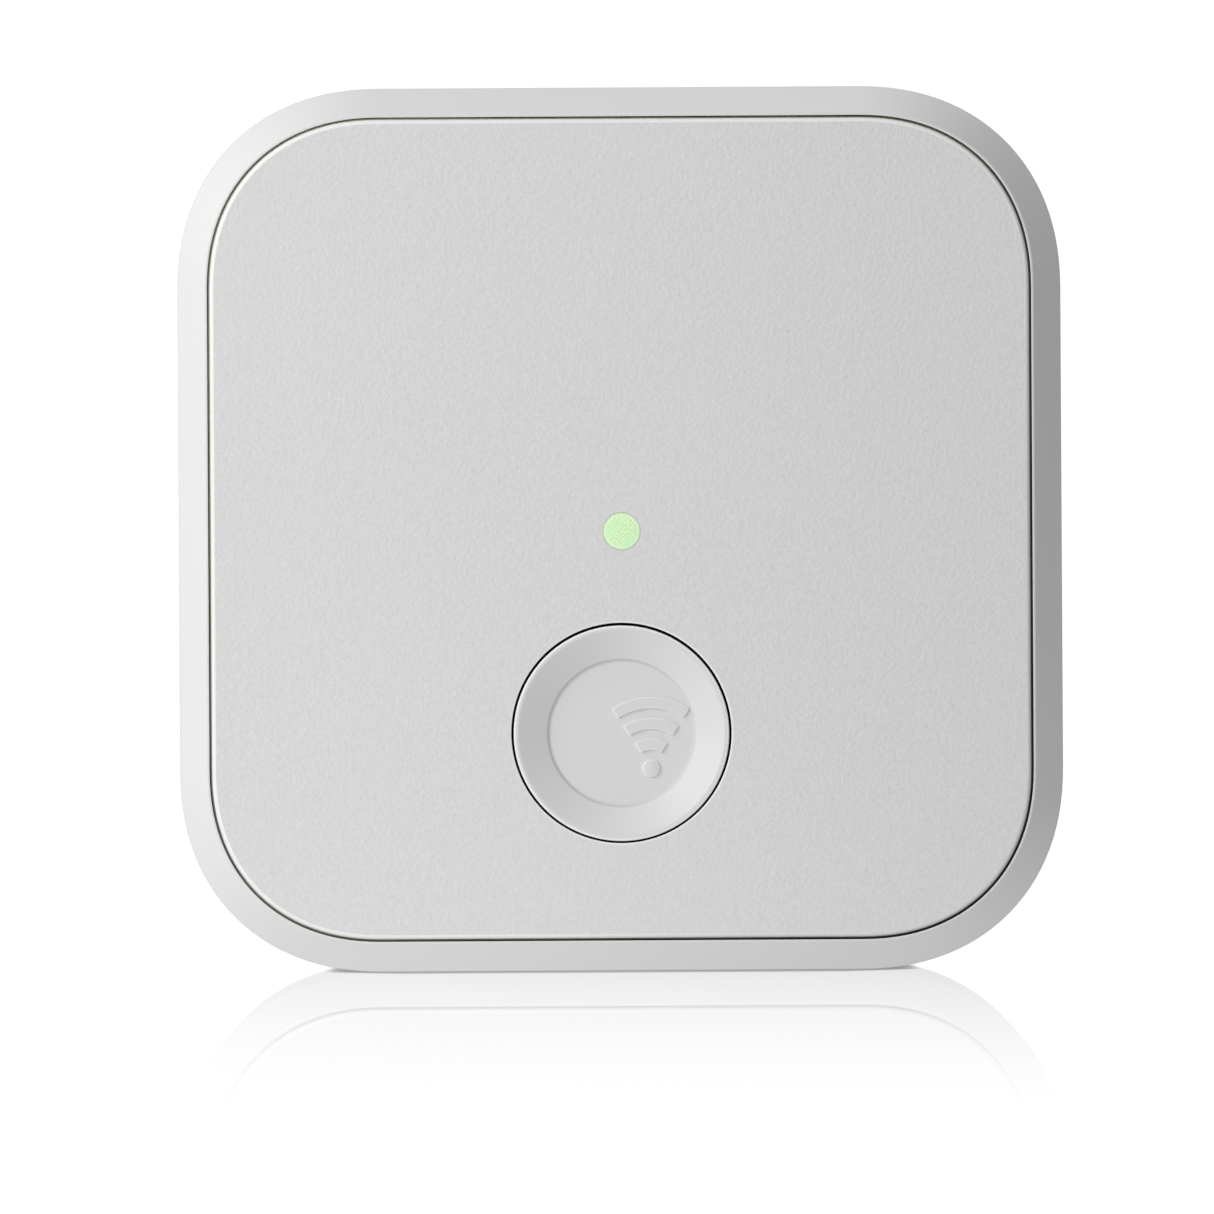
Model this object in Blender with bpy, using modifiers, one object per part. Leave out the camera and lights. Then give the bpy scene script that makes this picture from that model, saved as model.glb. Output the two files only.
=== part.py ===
"""Plug-in smart home hub: a rounded-square case with a front plate, a dished press button, a status light,
a two-blade plug on its back, and the two circuit boards that it holds.

Axes: +X to the right and +Z up as seen from the front, which faces -Y. The origin is the centre of the
face that lies against the wall, so the body runs from y = 0 to y = -BODY_DEPTH and the blades to +Y.
"""

import math

import bmesh
import bpy
from mathutils import Matrix

MM = 0.001

# Case
BODY_SIZE = 60.0 * MM
BODY_DEPTH = 28.0 * MM
WALL = 1.8 * MM
CORNER = 13.8 * MM  # how far a corner's curve reaches along each side of the body
CORNER_EXPONENT = 2.2  # 2 is a circular arc, more is squarer
CORNER_STEPS = 10
CORNER_PER_OFFSET = 1.0  # how much a corner shrinks for each unit that an outline moves inwards
BEZEL_DEPTH = 5.9 * MM
BEZEL_INSET = 2.0 * MM
BEZEL_BLEND = 1.5 * MM
LIP_ROUND = 0.12 * MM
REAR_ROUND = 0.8 * MM

# Front plate and the ledge it sits on
COVER_SIZE = 55.18 * MM
COVER_THICKNESS = 2.0 * MM
COVER_GAP = 0.13 * MM
COVER_STEP = 0.55 * MM  # below this depth the plate is wider and closes the gap round it
COVER_ROUND = 0.25 * MM
LEDGE_WIDTH = 1.4 * MM
LEDGE_THICKNESS = 1.2 * MM

# Button and status light, below the centre of the front plate
BUTTON_DROP = 13.8 * MM
BUTTON_RADIUS = 7.28 * MM
BUTTON_GAP = 0.15 * MM
BUTTON_FLANGE_RADIUS = 8.0 * MM
BUTTON_TRAVEL = 0.4 * MM
DISH_RIM = 6.98 * MM
DISH_RADIUS = 5.03 * MM
DISH_DEPTH = 0.94 * MM
DISH_STEP = 0.18 * MM
RELIEF_HEIGHT = 0.15 * MM
LIGHT_DROP = 0.2 * MM
LIGHT_RADIUS = 1.28 * MM

# Rating label, on the rear cover below the plug
LABEL_WIDTH = 30.0 * MM
LABEL_TALL = 12.0 * MM
LABEL_HEIGHT = -15.0 * MM
LABEL_RECESS = 0.3 * MM
LABEL_THICKNESS = 0.15 * MM

# Plug
BLADE_SPACING = 12.7 * MM
BLADE_WIDTH = 6.35 * MM
BLADE_THICKNESS = 1.5 * MM
BLADE_LENGTH = 16.0 * MM
BLADE_HOLE_RADIUS = 1.6 * MM
BLADE_HOLE_BACK = 4.1 * MM  # from the tip
CLAMP_STAKE_HEIGHT = 4.4 * MM

# Depth of each layer, from the wall face
REAR_COVER_THICKNESS = 2.0 * MM
MAINS_BOARD_BACK = -5.0 * MM
MAINS_BOARD_THICKNESS = 1.6 * MM
HOOD_BACK = -2.3 * MM
HOOD_FRONT = -19.6 * MM
HOOD_TAB = 1.0 * MM
LOGIC_BOARD_BACK = -21.1 * MM
LOGIC_BOARD_THICKNESS = 1.2 * MM

# Fixings
PILLAR_OFFSET = 22.6 * MM
PILLAR_RADIUS = 2.5 * MM
PAD_RADIUS = 2.9 * MM
PAD_DEPTH = 3.2 * MM
LOGIC_SCREW_OFFSET = 17.0 * MM
MAINS_SCREW_OFFSET = 19.0 * MM

CONTACT = 0.05 * MM  # left between pieces that rest on each other
ROUND_STEPS = 24
FINE_STEPS = 48

HALF = BODY_SIZE / 2
FRONT = -BODY_DEPTH
COVER_BACK = FRONT + COVER_THICKNESS
LEDGE_FRONT = COVER_BACK + 0.1 * MM
LEDGE_BACK = LEDGE_FRONT + LEDGE_THICKNESS
OPENING_HALF = COVER_SIZE / 2 + COVER_GAP
LEDGE_HALF = OPENING_HALF - LEDGE_WIDTH
INNER_HALF = HALF - WALL
LOGIC_BOARD_FRONT = LOGIC_BOARD_BACK - LOGIC_BOARD_THICKNESS
MAINS_BOARD_FRONT = MAINS_BOARD_BACK - MAINS_BOARD_THICKNESS
ON_LOGIC = LOGIC_BOARD_FRONT - CONTACT
ON_MAINS = MAINS_BOARD_FRONT - CONTACT
BUTTON_BACK = FRONT + 2.8 * MM
SPRING_THICKNESS = 0.3 * MM
STAKE_ASIDE = 3.6 * MM  # where the spring is staked, from the button's axis
STAKE_RISE = 9.8 * MM
SWITCH_TOP = -24.2 * MM
PLUNGER_TOP = -24.9 * MM
STEM_END = PLUNGER_TOP - CONTACT

FACING_FRONT = (math.pi / 2, 0.0, 0.0)  # turns an object's local Z to the front, -Y

for old in list(bpy.data.objects):
    bpy.data.objects.remove(old)

parts = bpy.data.collections.new("smart_home_hub")
helpers = bpy.data.collections.new("cutters")
bpy.context.scene.collection.children.link(parts)
bpy.context.scene.collection.children.link(helpers)


# ---------------------------------------------------------------- materials


def make_material(name, colour, roughness, metallic=0.0):
    material = bpy.data.materials.new(name)
    material.use_nodes = True
    shader = material.node_tree.nodes["Principled BSDF"]
    shader.inputs["Base Color"].default_value = (*colour, 1.0)
    shader.inputs["Roughness"].default_value = roughness
    shader.inputs["Metallic"].default_value = metallic
    material.diffuse_color = (*colour, 1.0)
    return material


CASE_WHITE = make_material("case_white", (0.80, 0.80, 0.79), 0.45)
BUTTON_WHITE = make_material("button_white", (0.81, 0.81, 0.80), 0.35)
LIGHT_GREEN = make_material("light_green", (0.62, 0.93, 0.53), 0.30)
SHROUD_BLACK = make_material("shroud_black", (0.03, 0.03, 0.03), 0.70)
BOARD_GREEN = make_material("board_green", (0.03, 0.22, 0.10), 0.40)
MODULE_BLUE = make_material("module_blue", (0.04, 0.10, 0.26), 0.40)
CHIP_BLACK = make_material("chip_black", (0.04, 0.04, 0.045), 0.50)
CERAMIC = make_material("ceramic", (0.82, 0.80, 0.74), 0.50)
STEEL = make_material("steel", (0.62, 0.62, 0.63), 0.35, 1.0)
TINNED = make_material("tinned_steel", (0.74, 0.74, 0.72), 0.30, 1.0)
NICKEL = make_material("nickel_plate", (0.72, 0.69, 0.62), 0.22, 1.0)
BRASS = make_material("brass", (0.78, 0.62, 0.30), 0.30, 1.0)
FERRITE = make_material("ferrite", (0.10, 0.10, 0.11), 0.60)
BOBBIN_BLACK = make_material("bobbin_black", (0.05, 0.05, 0.05), 0.55)
TAPE_YELLOW = make_material("tape_yellow", (0.85, 0.68, 0.10), 0.40)
SLEEVE_DARK = make_material("capacitor_sleeve", (0.05, 0.07, 0.12), 0.35)
DISC_BLUE = make_material("disc_blue", (0.08, 0.24, 0.55), 0.35)
RESISTOR_GREEN = make_material("resistor_body", (0.30, 0.45, 0.38), 0.50)
HOOD_WHITE = make_material("hood_plastic", (0.72, 0.72, 0.70), 0.55)
LABEL = make_material("label", (0.78, 0.78, 0.78), 0.60)


# ---------------------------------------------------------------- modelling tools


def place(name, data, material, location=(0, 0, 0), rotation=(0, 0, 0), parent=None, collection=None):
    """Links one object at its place, with its material, and returns it."""
    data.materials.append(material)
    thing = bpy.data.objects.new(name, data)
    thing.location = location
    thing.rotation_euler = rotation
    thing.parent = parent
    (collection or parts).objects.link(thing)
    return thing


def place_helper(name, data, location=(0, 0, 0)):
    """A shape that only cuts or joins others."""
    thing = bpy.data.objects.new(name, data)
    thing.location = location
    thing.hide_render = True
    thing.display_type = "WIRE"
    helpers.objects.link(thing)
    return thing


def boolean(target, other, operation):
    modifier = target.modifiers.new(other.name, "BOOLEAN")
    modifier.operation = operation
    modifier.solver = "EXACT"
    modifier.object = other


def cut(target, other):
    boolean(target, other, "DIFFERENCE")


def join(target, other):
    boolean(target, other, "UNION")


def bevel(thing, width, segments=1):
    modifier = thing.modifiers.new("rounded_edges", "BEVEL")
    modifier.width = width
    modifier.segments = segments
    modifier.limit_method = "ANGLE"
    modifier.angle_limit = math.radians(40)


def mesh_from(name, bm, smooth_below=35):
    """A mesh with its faces outwards, smooth except at edges sharper than smooth_below degrees."""
    bmesh.ops.recalc_face_normals(bm, faces=bm.faces)
    mesh = bpy.data.meshes.new(name)
    bm.to_mesh(mesh)
    bm.free()
    mesh.shade_smooth()
    mesh.set_sharp_from_angle(angle=math.radians(smooth_below))
    return mesh


def add_block(bm, size, centre=(0, 0, 0)):
    matrix = Matrix.Translation(centre) @ Matrix.Diagonal((*size, 1.0))
    bmesh.ops.create_cube(bm, size=1.0, matrix=matrix)


def add_round(bm, radius, back, front, x=0.0, z=0.0, steps=ROUND_STEPS):
    """A cylinder along Y between the planes y = back and y = front."""
    middle = (x, (back + front) / 2, z)
    matrix = Matrix.Translation(middle) @ Matrix.Rotation(math.pi / 2, 4, "X")
    bmesh.ops.create_cone(
        bm, cap_ends=True, segments=steps, radius1=radius, radius2=radius, depth=back - front, matrix=matrix
    )


def box(name, size, centre, material, rounding=0.0, parent=None):
    bm = bmesh.new()
    add_block(bm, size)
    thing = place(name, mesh_from(name, bm), material, location=centre, parent=parent)
    if rounding:
        bevel(thing, rounding)
    return thing


def blocks(name, boxes):
    """A helper made of several separate boxes, each (size, centre)."""
    bm = bmesh.new()
    for size, centre in boxes:
        add_block(bm, size, centre)
    return place_helper(name, mesh_from(name, bm))


def rounds(name, radius, back, front, spots, steps=ROUND_STEPS):
    """A helper made of equal cylinders along Y, one at each (x, z)."""
    bm = bmesh.new()
    for x, z in spots:
        add_round(bm, radius, back, front, x, z, steps)
    return place_helper(name, mesh_from(name, bm))


def turned(
    name, profile, material, location, closed=False, steps=ROUND_STEPS, rotation=FACING_FRONT, parent=None
):
    """Turns a profile of (radius, height) about the local Z axis. It runs down its outer side."""
    bm = bmesh.new()
    verts = [bm.verts.new((radius, 0.0, height)) for radius, height in profile]
    for first, second in zip(verts, verts[1:]):
        bm.edges.new((first, second))
    if closed:
        bm.edges.new((verts[-1], verts[0]))
    mesh = bpy.data.meshes.new(name)
    bm.to_mesh(mesh)
    bm.free()
    thing = place(name, mesh, material, location, rotation, parent)
    screw = thing.modifiers.new("turn", "SCREW")
    screw.steps = screw.render_steps = steps
    screw.use_merge_vertices = True
    screw.merge_threshold = 0.00001
    screw.use_smooth_shade = True
    return thing


def flat_plate(name, outlines, thickness, material, location, parent=None):
    """A sheet facing -Y from closed outlines of (x, z): the first is its edge and the others are holes."""
    curve = bpy.data.curves.new(name, "CURVE")
    curve.dimensions = "2D"
    curve.fill_mode = "BOTH"
    curve.extrude = thickness / 2
    for outline in outlines:
        spline = curve.splines.new("POLY")
        spline.points.add(len(outline) - 1)
        for point, (x, z) in zip(spline.points, outline):
            point.co = (x, z, 0.0, 1.0)
        spline.use_cyclic_u = True
    return place(name, curve, material, location, FACING_FRONT, parent)


# ---------------------------------------------------------------- outlines


def corner_for(half):
    return CORNER - CORNER_PER_OFFSET * (HALF - half)


def rounded_square(half):
    """Points (x, z) round a square whose corners follow a superellipse."""
    corner = corner_for(half)
    power = 2.0 / CORNER_EXPONENT
    points = []
    for quarter in range(4):
        for step in range(CORNER_STEPS + 1):
            angle = math.pi / 2 * step / CORNER_STEPS
            x = half - corner + corner * max(math.cos(angle), 0.0) ** power
            z = half - corner + corner * max(math.sin(angle), 0.0) ** power
            for _ in range(quarter):
                x, z = -z, x
            points.append((x, z))
    return points


def clipped_square(half, clip):
    """A square with each corner cut off at 45 degrees."""
    inner = half - clip
    quarter = [(half, -inner), (half, inner)]
    points = []
    for turn in range(4):
        for x, z in quarter:
            for _ in range(turn):
                x, z = -z, x
            points.append((x, z))
    return points


def arc(centre, radius, start, end, steps):
    """Points on a circle about centre, from the angle start to the angle end, in degrees."""
    points = []
    for step in range(steps + 1):
        angle = math.radians(start + (end - start) * step / steps)
        points.append((centre[0] + radius * math.cos(angle), centre[1] + radius * math.sin(angle)))
    return points


def circle(radius, x=0.0, z=0.0, steps=ROUND_STEPS):
    return arc((x, z), radius, 0, 360, steps)[:-1]


def rectangle(width, height, x=0.0, z=0.0):
    return [
        (x + side * width / 2, z + rise * height / 2)
        for side, rise in ((-1, -1), (1, -1), (1, 1), (-1, 1))
    ]


def loft(name, outline, sections, ends):
    """Skins outline(half) at each (half, y) in sections. ends is "capped", "open" for a cap at the last
    only, or "ring" to join the last section back to the first."""
    bm = bmesh.new()
    loops = [[bm.verts.new((x, y, z)) for x, z in outline(half)] for half, y in sections]
    pairs = list(zip(loops, loops[1:]))
    if ends == "ring":
        pairs.append((loops[-1], loops[0]))
    else:
        bm.faces.new(loops[-1])
    if ends == "capped":
        bm.faces.new(loops[0])
    count = len(loops[0])
    for first, second in pairs:
        for i in range(count):
            j = (i + 1) % count
            bm.faces.new((first[i], first[j], second[j], second[i]))
    return mesh_from(name, bm)


def extruded(name, outlines, back, front):
    """A helper made of flat outlines of (x, z), each extruded from y = back to y = front."""
    bm = bmesh.new()
    for outline in outlines:
        face = bm.faces.new([bm.verts.new((x, back, z)) for x, z in outline])
        grown = bmesh.ops.extrude_face_region(bm, geom=[face])["geom"]
        moved = [part for part in grown if isinstance(part, bmesh.types.BMVert)]
        bmesh.ops.translate(bm, verts=moved, vec=(0, front - back, 0))
    return place_helper(name, mesh_from(name, bm))


def four_corners(offset):
    return [(x, z) for x in (-offset, offset) for z in (-offset, offset)]


# ---------------------------------------------------------------- case


def bezel_half(y):
    """Half the body's width on the sloping bezel at depth y."""
    share = (y - FRONT) / BEZEL_DEPTH
    return HALF - BEZEL_INSET * (1 - share)


def make_outer_shell():
    """The sleeve round the body: sloping bezel, ledge for the front plate and four screw pillars."""
    bezel_back = FRONT + BEZEL_DEPTH
    inner_step = LEDGE_BACK + 2.4 * MM
    sections = [
        (HALF - REAR_ROUND, 0.0),
        (HALF - 0.3 * REAR_ROUND, -0.3 * REAR_ROUND),
        (HALF, -REAR_ROUND),
        (HALF, bezel_back + BEZEL_BLEND / 2),
        (HALF - 0.12 * MM, bezel_back),
        (bezel_half(bezel_back - BEZEL_BLEND / 2), bezel_back - BEZEL_BLEND / 2),
        (bezel_half(FRONT + LIP_ROUND), FRONT + LIP_ROUND),
        (bezel_half(FRONT) - LIP_ROUND, FRONT),
        (OPENING_HALF + LIP_ROUND / 2, FRONT),
        (OPENING_HALF, FRONT + LIP_ROUND),
        (OPENING_HALF, LEDGE_FRONT),
        (LEDGE_HALF, LEDGE_FRONT),
        (LEDGE_HALF, LEDGE_BACK),
        (LEDGE_HALF + 1.0 * MM, LEDGE_BACK),
        (INNER_HALF, inner_step),
        (INNER_HALF, 0.0),
    ]
    shell = place("outer_shell", loft("outer_shell", rounded_square, sections, "ring"), CASE_WHITE)
    spots = four_corners(PILLAR_OFFSET)
    pillar_end = -PAD_DEPTH - 0.1 * MM
    join(shell, rounds("pillars", PILLAR_RADIUS, pillar_end, LEDGE_BACK - 0.4 * MM, spots))
    for webs in make_pillar_webs(pillar_end):
        join(shell, webs)
    cut(shell, rounds("pillar_holes", 1.1 * MM, pillar_end + 1.0 * MM, -11.0 * MM, spots, steps=12))


def make_pillar_webs(pillar_end):
    """Two ribs from each pillar across to the side walls, as two helpers: those along X and those along Z."""
    thick = 1.2 * MM
    reach = 4.6 * MM
    back = pillar_end - 0.5 * MM
    front = FRONT + BEZEL_DEPTH + 0.6 * MM
    middle_y = (back + front) / 2
    along_x = []
    along_z = []
    for x, z in four_corners(PILLAR_OFFSET):
        out_x = math.copysign(reach / 2, x)
        out_z = math.copysign(reach / 2, z)
        along_x.append(((reach, back - front, thick), (x + out_x, middle_y, z)))
        along_z.append(((thick, back - front, reach), (x, middle_y, z + out_z)))
    return blocks("pillar_webs_x", along_x), blocks("pillar_webs_z", along_z)


def make_front_cover():
    """The flat front plate, with holes for the button and the light, snap hooks and board bosses behind."""
    half = COVER_SIZE / 2
    tongue_half = OPENING_HALF - CONTACT
    sections = [
        (tongue_half, COVER_BACK),
        (tongue_half, FRONT + COVER_STEP),
        (half, FRONT + COVER_STEP),
        (half, FRONT + COVER_ROUND),
        (half - 0.3 * COVER_ROUND, FRONT + 0.3 * COVER_ROUND),
        (half - COVER_ROUND, FRONT),
    ]
    cover = place("front_cover", loft("front_cover", rounded_square, sections, "capped"), CASE_WHITE)
    overlap = COVER_BACK - 0.5 * MM
    bosses = four_corners(LOGIC_SCREW_OFFSET)
    join(cover, rounds("board_bosses", 2.0 * MM, ON_LOGIC, overlap, bosses))
    stakes = [(side * STAKE_ASIDE, -BUTTON_DROP + STAKE_RISE) for side in (-1, 1)]
    stake_end = BUTTON_BACK + SPRING_THICKNESS + 0.3 * MM
    join(cover, rounds("spring_bosses", 1.1 * MM, BUTTON_BACK, overlap, stakes, steps=12))
    join(cover, rounds("spring_stakes", 0.55 * MM, stake_end, overlap, stakes, steps=12))
    join(cover, make_snap_hooks())
    cut(cover, rounds("boss_holes", 0.85 * MM, ON_LOGIC + 0.3 * MM, ON_LOGIC - 3.0 * MM, bosses, 12))
    hole = BUTTON_RADIUS + BUTTON_GAP
    cut(cover, rounds("button_hole", hole, COVER_BACK + MM, FRONT - MM, [(0, -BUTTON_DROP)], FINE_STEPS))
    light_hole = LIGHT_RADIUS + CONTACT
    cut(cover, rounds("light_hole", light_hole, COVER_BACK + MM, FRONT - MM, [(0, -LIGHT_DROP)]))


def make_snap_hooks():
    """Two hooks on each side of the front plate: a finger with a barb that catches behind the ledge."""
    finger_face = LEDGE_HALF - 0.2 * MM
    finger = 0.9 * MM
    barb = 0.5 * MM
    tip = LEDGE_BACK + 0.9 * MM
    outline = [
        (finger_face - finger, COVER_BACK - 0.5 * MM),
        (finger_face, COVER_BACK - 0.5 * MM),
        (finger_face, LEDGE_BACK + 0.1 * MM),
        (finger_face + barb, LEDGE_BACK + 0.1 * MM),
        (finger_face + barb, LEDGE_BACK + 0.4 * MM),
        (finger_face, tip),
        (finger_face - finger, tip),
    ]
    width = 5.0 * MM
    bm = bmesh.new()
    for turn in range(4):
        around = Matrix.Rotation(turn * math.pi / 2, 4, "Y")
        for along in (-9.0 * MM, 9.0 * MM):
            face = bm.faces.new([bm.verts.new((out, y, along - width / 2)) for out, y in outline])
            grown = bmesh.ops.extrude_face_region(bm, geom=[face])["geom"]
            moved = [v for v in grown if isinstance(v, bmesh.types.BMVert)]
            bmesh.ops.translate(bm, verts=moved, vec=(0, 0, width))
            bmesh.ops.transform(bm, verts=moved + list(face.verts), matrix=around)
    return place_helper("snap_hooks", mesh_from("snap_hooks", bm))


def make_rear_cover():
    """The plate against the wall: blade slots, screw pads, board standoffs and a label recess."""
    half = INNER_HALF - 0.15 * MM
    edge = 0.2 * MM
    sections = [
        (half - edge, 0.0),
        (half, -edge),
        (half, -REAR_COVER_THICKNESS),
    ]
    cover = place("rear_cover", loft("rear_cover", rounded_square, sections, "capped"), CASE_WHITE)
    inside = -REAR_COVER_THICKNESS + 0.5 * MM
    spots = four_corners(PILLAR_OFFSET)
    join(cover, rounds("screw_pads", PAD_RADIUS, inside, -PAD_DEPTH, spots))
    standoffs = [(side * MAINS_SCREW_OFFSET, 0.0) for side in (-1, 1)]
    join(cover, rounds("standoffs", 2.4 * MM, inside, MAINS_BOARD_BACK + CONTACT, standoffs))
    stakes = [(0, CLAMP_STAKE_HEIGHT), (0, -CLAMP_STAKE_HEIGHT)]
    join(cover, rounds("clamp_stakes", 0.95 * MM, inside, -4.7 * MM, stakes, 12))
    cut(cover, rounds("standoff_holes", 1.05 * MM, -2.6 * MM, -6.0 * MM, standoffs, 12))
    cut(cover, rounds("screw_head_holes", 2.1 * MM, MM, -1.6 * MM, spots))
    cut(cover, rounds("screw_shank_holes", 1.25 * MM, MM, -5.0 * MM, spots, 12))
    slot = (BLADE_THICKNESS + 0.3 * MM, 10 * MM, BLADE_WIDTH + 0.3 * MM)
    cut(cover, blocks("blade_slots", [(slot, (side * BLADE_SPACING / 2, 0, 0)) for side in (-1, 1)]))
    recess = (LABEL_WIDTH + 0.4 * MM, 2 * LABEL_RECESS, LABEL_TALL + 0.4 * MM)
    cut(cover, blocks("label_recess", [(recess, (0, 0, LABEL_HEIGHT))]))


def make_label():
    middle = -LABEL_RECESS + CONTACT + LABEL_THICKNESS / 2
    box("rating_label", (LABEL_WIDTH, LABEL_THICKNESS, LABEL_TALL), (0, middle, LABEL_HEIGHT), LABEL)


# ---------------------------------------------------------------- screws


def make_screw(name, head_radius, head_height, shank_radius, length, location, towards_front, material):
    """A pan-head screw with a crossed drive. Its origin is under its head; its shank runs along local -Z."""
    profile = [
        (0.0, head_height),
        (head_radius * 0.75, head_height),
        (head_radius, head_height * 0.6),
        (head_radius, 0.0),
        (shank_radius, 0.0),
        (shank_radius, -length + shank_radius),
        (0.0, -length),
    ]
    turn = -math.pi / 2 if towards_front else math.pi / 2
    screw = turned(name, profile, material, location, steps=16, rotation=(turn, 0, 0))
    arm = head_radius * 1.1
    width = head_radius * 0.28
    deep = head_height * 1.1
    direction = 1 if towards_front else -1
    top = direction * head_height
    drive = blocks(name + "_drive", [((arm, deep, width), (0, 0, 0))])
    cross = blocks(name + "_drive_2", [((width, deep * 0.98, arm), (0, 0, 0))])
    for slot in (drive, cross):
        slot.location = (location[0], location[1] + top, location[2])
        cut(screw, slot)


def make_screws():
    for number, (x, z) in enumerate(four_corners(PILLAR_OFFSET), 1):
        place_at = (x, -1.6 * MM + CONTACT, z)
        make_screw(f"rear_screw_{number}", 1.9 * MM, 1.2 * MM, 1.05 * MM, 8.0 * MM, place_at, True, STEEL)
    for number, (x, z) in enumerate(four_corners(LOGIC_SCREW_OFFSET), 1):
        place_at = (x, LOGIC_BOARD_BACK + CONTACT, z)
        make_screw(f"logic_screw_{number}", 1.6 * MM, 1.0 * MM, 0.8 * MM, 4.0 * MM, place_at, True, STEEL)
    for number, side in enumerate((-1, 1), 1):
        place_at = (side * MAINS_SCREW_OFFSET, ON_MAINS - HOOD_TAB - CONTACT, 0.0)
        make_screw(f"mains_screw_{number}", 1.9 * MM, 1.1 * MM, 1.0 * MM, 4.6 * MM, place_at, False, STEEL)


# ---------------------------------------------------------------- plug


def blade_outline():
    """Side view of a blade as (y, z): wide shoulder and narrow tail inside, chamfered tip outside."""
    tip = BLADE_LENGTH
    half = BLADE_WIDTH / 2
    chamfer = 1.3 * MM
    shoulder = 4.6 * MM
    shoulder_front = -3.4 * MM
    shoulder_back = -REAR_COVER_THICKNESS - CONTACT
    tail = 1.5 * MM
    tail_end = -7.8 * MM
    upper = [
        (tip, half - chamfer),
        (tip - chamfer, half),
        (shoulder_back, half),
        (shoulder_back, shoulder),
        (shoulder_front, shoulder),
        (shoulder_front, tail),
        (tail_end, tail),
    ]
    return upper + [(y, -z) for y, z in reversed(upper)]


def make_blades():
    """Flat blades, cut from sheet, standing on edge side by side. Local Z is the sheet's normal, world X."""
    hole_at = BLADE_LENGTH - BLADE_HOLE_BACK
    for name, side in (("plug_blade_left", -1), ("plug_blade_right", 1)):
        outlines = [blade_outline(), circle(BLADE_HOLE_RADIUS, hole_at, 0.0, 16)]
        centre = (side * BLADE_SPACING / 2, 0, 0)
        blade = flat_plate(name, outlines, BLADE_THICKNESS, NICKEL, centre)
        blade.rotation_euler = (math.pi / 2, 0, math.pi / 2)


def make_blade_clamp():
    """The block staked inside the rear cover that traps the blades' shoulders."""
    back = -REAR_COVER_THICKNESS - CONTACT
    front = -4.7 * MM
    middle = (back + front) / 2
    clamp = box("blade_clamp", (19.0 * MM, back - front, 14.0 * MM), (0, middle, 0), BOBBIN_BLACK)
    pocket = (BLADE_THICKNESS + 0.3 * MM, 3.0 * MM, 9.6 * MM)
    tail_slot = (BLADE_THICKNESS + 0.3 * MM, 12 * MM, 3.3 * MM)
    sides = [side * BLADE_SPACING / 2 for side in (-1, 1)]
    cut(clamp, blocks("shoulder_pockets", [(pocket, (x, -2.0 * MM, 0)) for x in sides]))
    cut(clamp, blocks("tail_slots", [(tail_slot, (x, -4.0 * MM, 0)) for x in sides]))
    stakes = [(0, CLAMP_STAKE_HEIGHT), (0, -CLAMP_STAKE_HEIGHT)]
    cut(clamp, rounds("stake_holes", 1.1 * MM, 0.0, -8.0 * MM, stakes, 12))


# ---------------------------------------------------------------- button and light


def make_button(axis):
    """The pressed cap: dished face, side, retaining flange and a stem for the switch. Local Z is outwards."""
    flange_front = -(COVER_THICKNESS + 0.1 * MM)
    back = FRONT - BUTTON_BACK
    web = -2.3 * MM
    dish_floor = -(DISH_DEPTH + DISH_STEP)
    profile = [
        (0.0, dish_floor),
        (DISH_RADIUS - 0.05 * MM, dish_floor),
        (DISH_RADIUS + 0.05 * MM, -DISH_DEPTH),
        (DISH_RIM - 0.08 * MM, -0.04 * MM),
        (DISH_RIM + 0.08 * MM, 0.0),
        (BUTTON_RADIUS - 0.08 * MM, 0.0),
        (BUTTON_RADIUS, -0.10 * MM),
        (BUTTON_RADIUS, flange_front),
        (BUTTON_FLANGE_RADIUS, flange_front),
        (BUTTON_FLANGE_RADIUS, back),
        (6.2 * MM, back),
        (5.8 * MM, web),
        (1.5 * MM, web),
        (1.5 * MM, FRONT - STEM_END),
        (0.0, FRONT - STEM_END),
    ]
    cap = turned("button_cap", profile, BUTTON_WHITE, (0, FRONT, 0), steps=FINE_STEPS, parent=axis)
    join(cap, make_relief(FRONT - dish_floor))


def make_relief(floor):
    """A raised wireless sign on the dish's floor, right of its middle: a dot with three arcs over it."""
    dot_x, dot_z = 2.0 * MM, -BUTTON_DROP - 2.4 * MM
    spread = 33
    stroke = 0.75 * MM
    shapes = [circle(0.58 * MM, dot_x, dot_z, 12)]
    for radius in (1.25 * MM, 2.65 * MM, 4.05 * MM):
        inner = arc((dot_x, dot_z), radius, 90 - spread, 90 + spread, 8)
        outer = arc((dot_x, dot_z), radius + stroke, 90 + spread, 90 - spread, 8)
        shapes.append(inner + outer)
    return extruded("relief", shapes, floor + 0.1 * MM, floor - RELIEF_HEIGHT)


def make_button_spring(axis):
    """A flat spring: a ring on the cap's flange, joined at its foot to two arms that reach a staked pad."""
    arm_outer = 10.0 * MM
    pad_top = 10.8 * MM
    bridge = 14
    edge = arc((0, 0), arm_outer, 120, 420, 40)
    pad = [(5.0 * MM, pad_top), (-5.0 * MM, pad_top)]
    slot = arc((0, 0), 8.8 * MM, 270 + bridge, 630 - bridge, 40)
    slot += arc((0, 0), 7.8 * MM, 630 - bridge, 270 + bridge, 40)
    holes = [circle(0.7 * MM, side * STAKE_ASIDE, STAKE_RISE, 12) for side in (-1, 1)]
    outlines = [edge + pad, slot, circle(6.4 * MM, steps=FINE_STEPS), *holes]
    middle = BUTTON_BACK + CONTACT + SPRING_THICKNESS / 2
    flat_plate("button_spring", outlines, SPRING_THICKNESS, STEEL, (0, middle, 0), axis)


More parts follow.
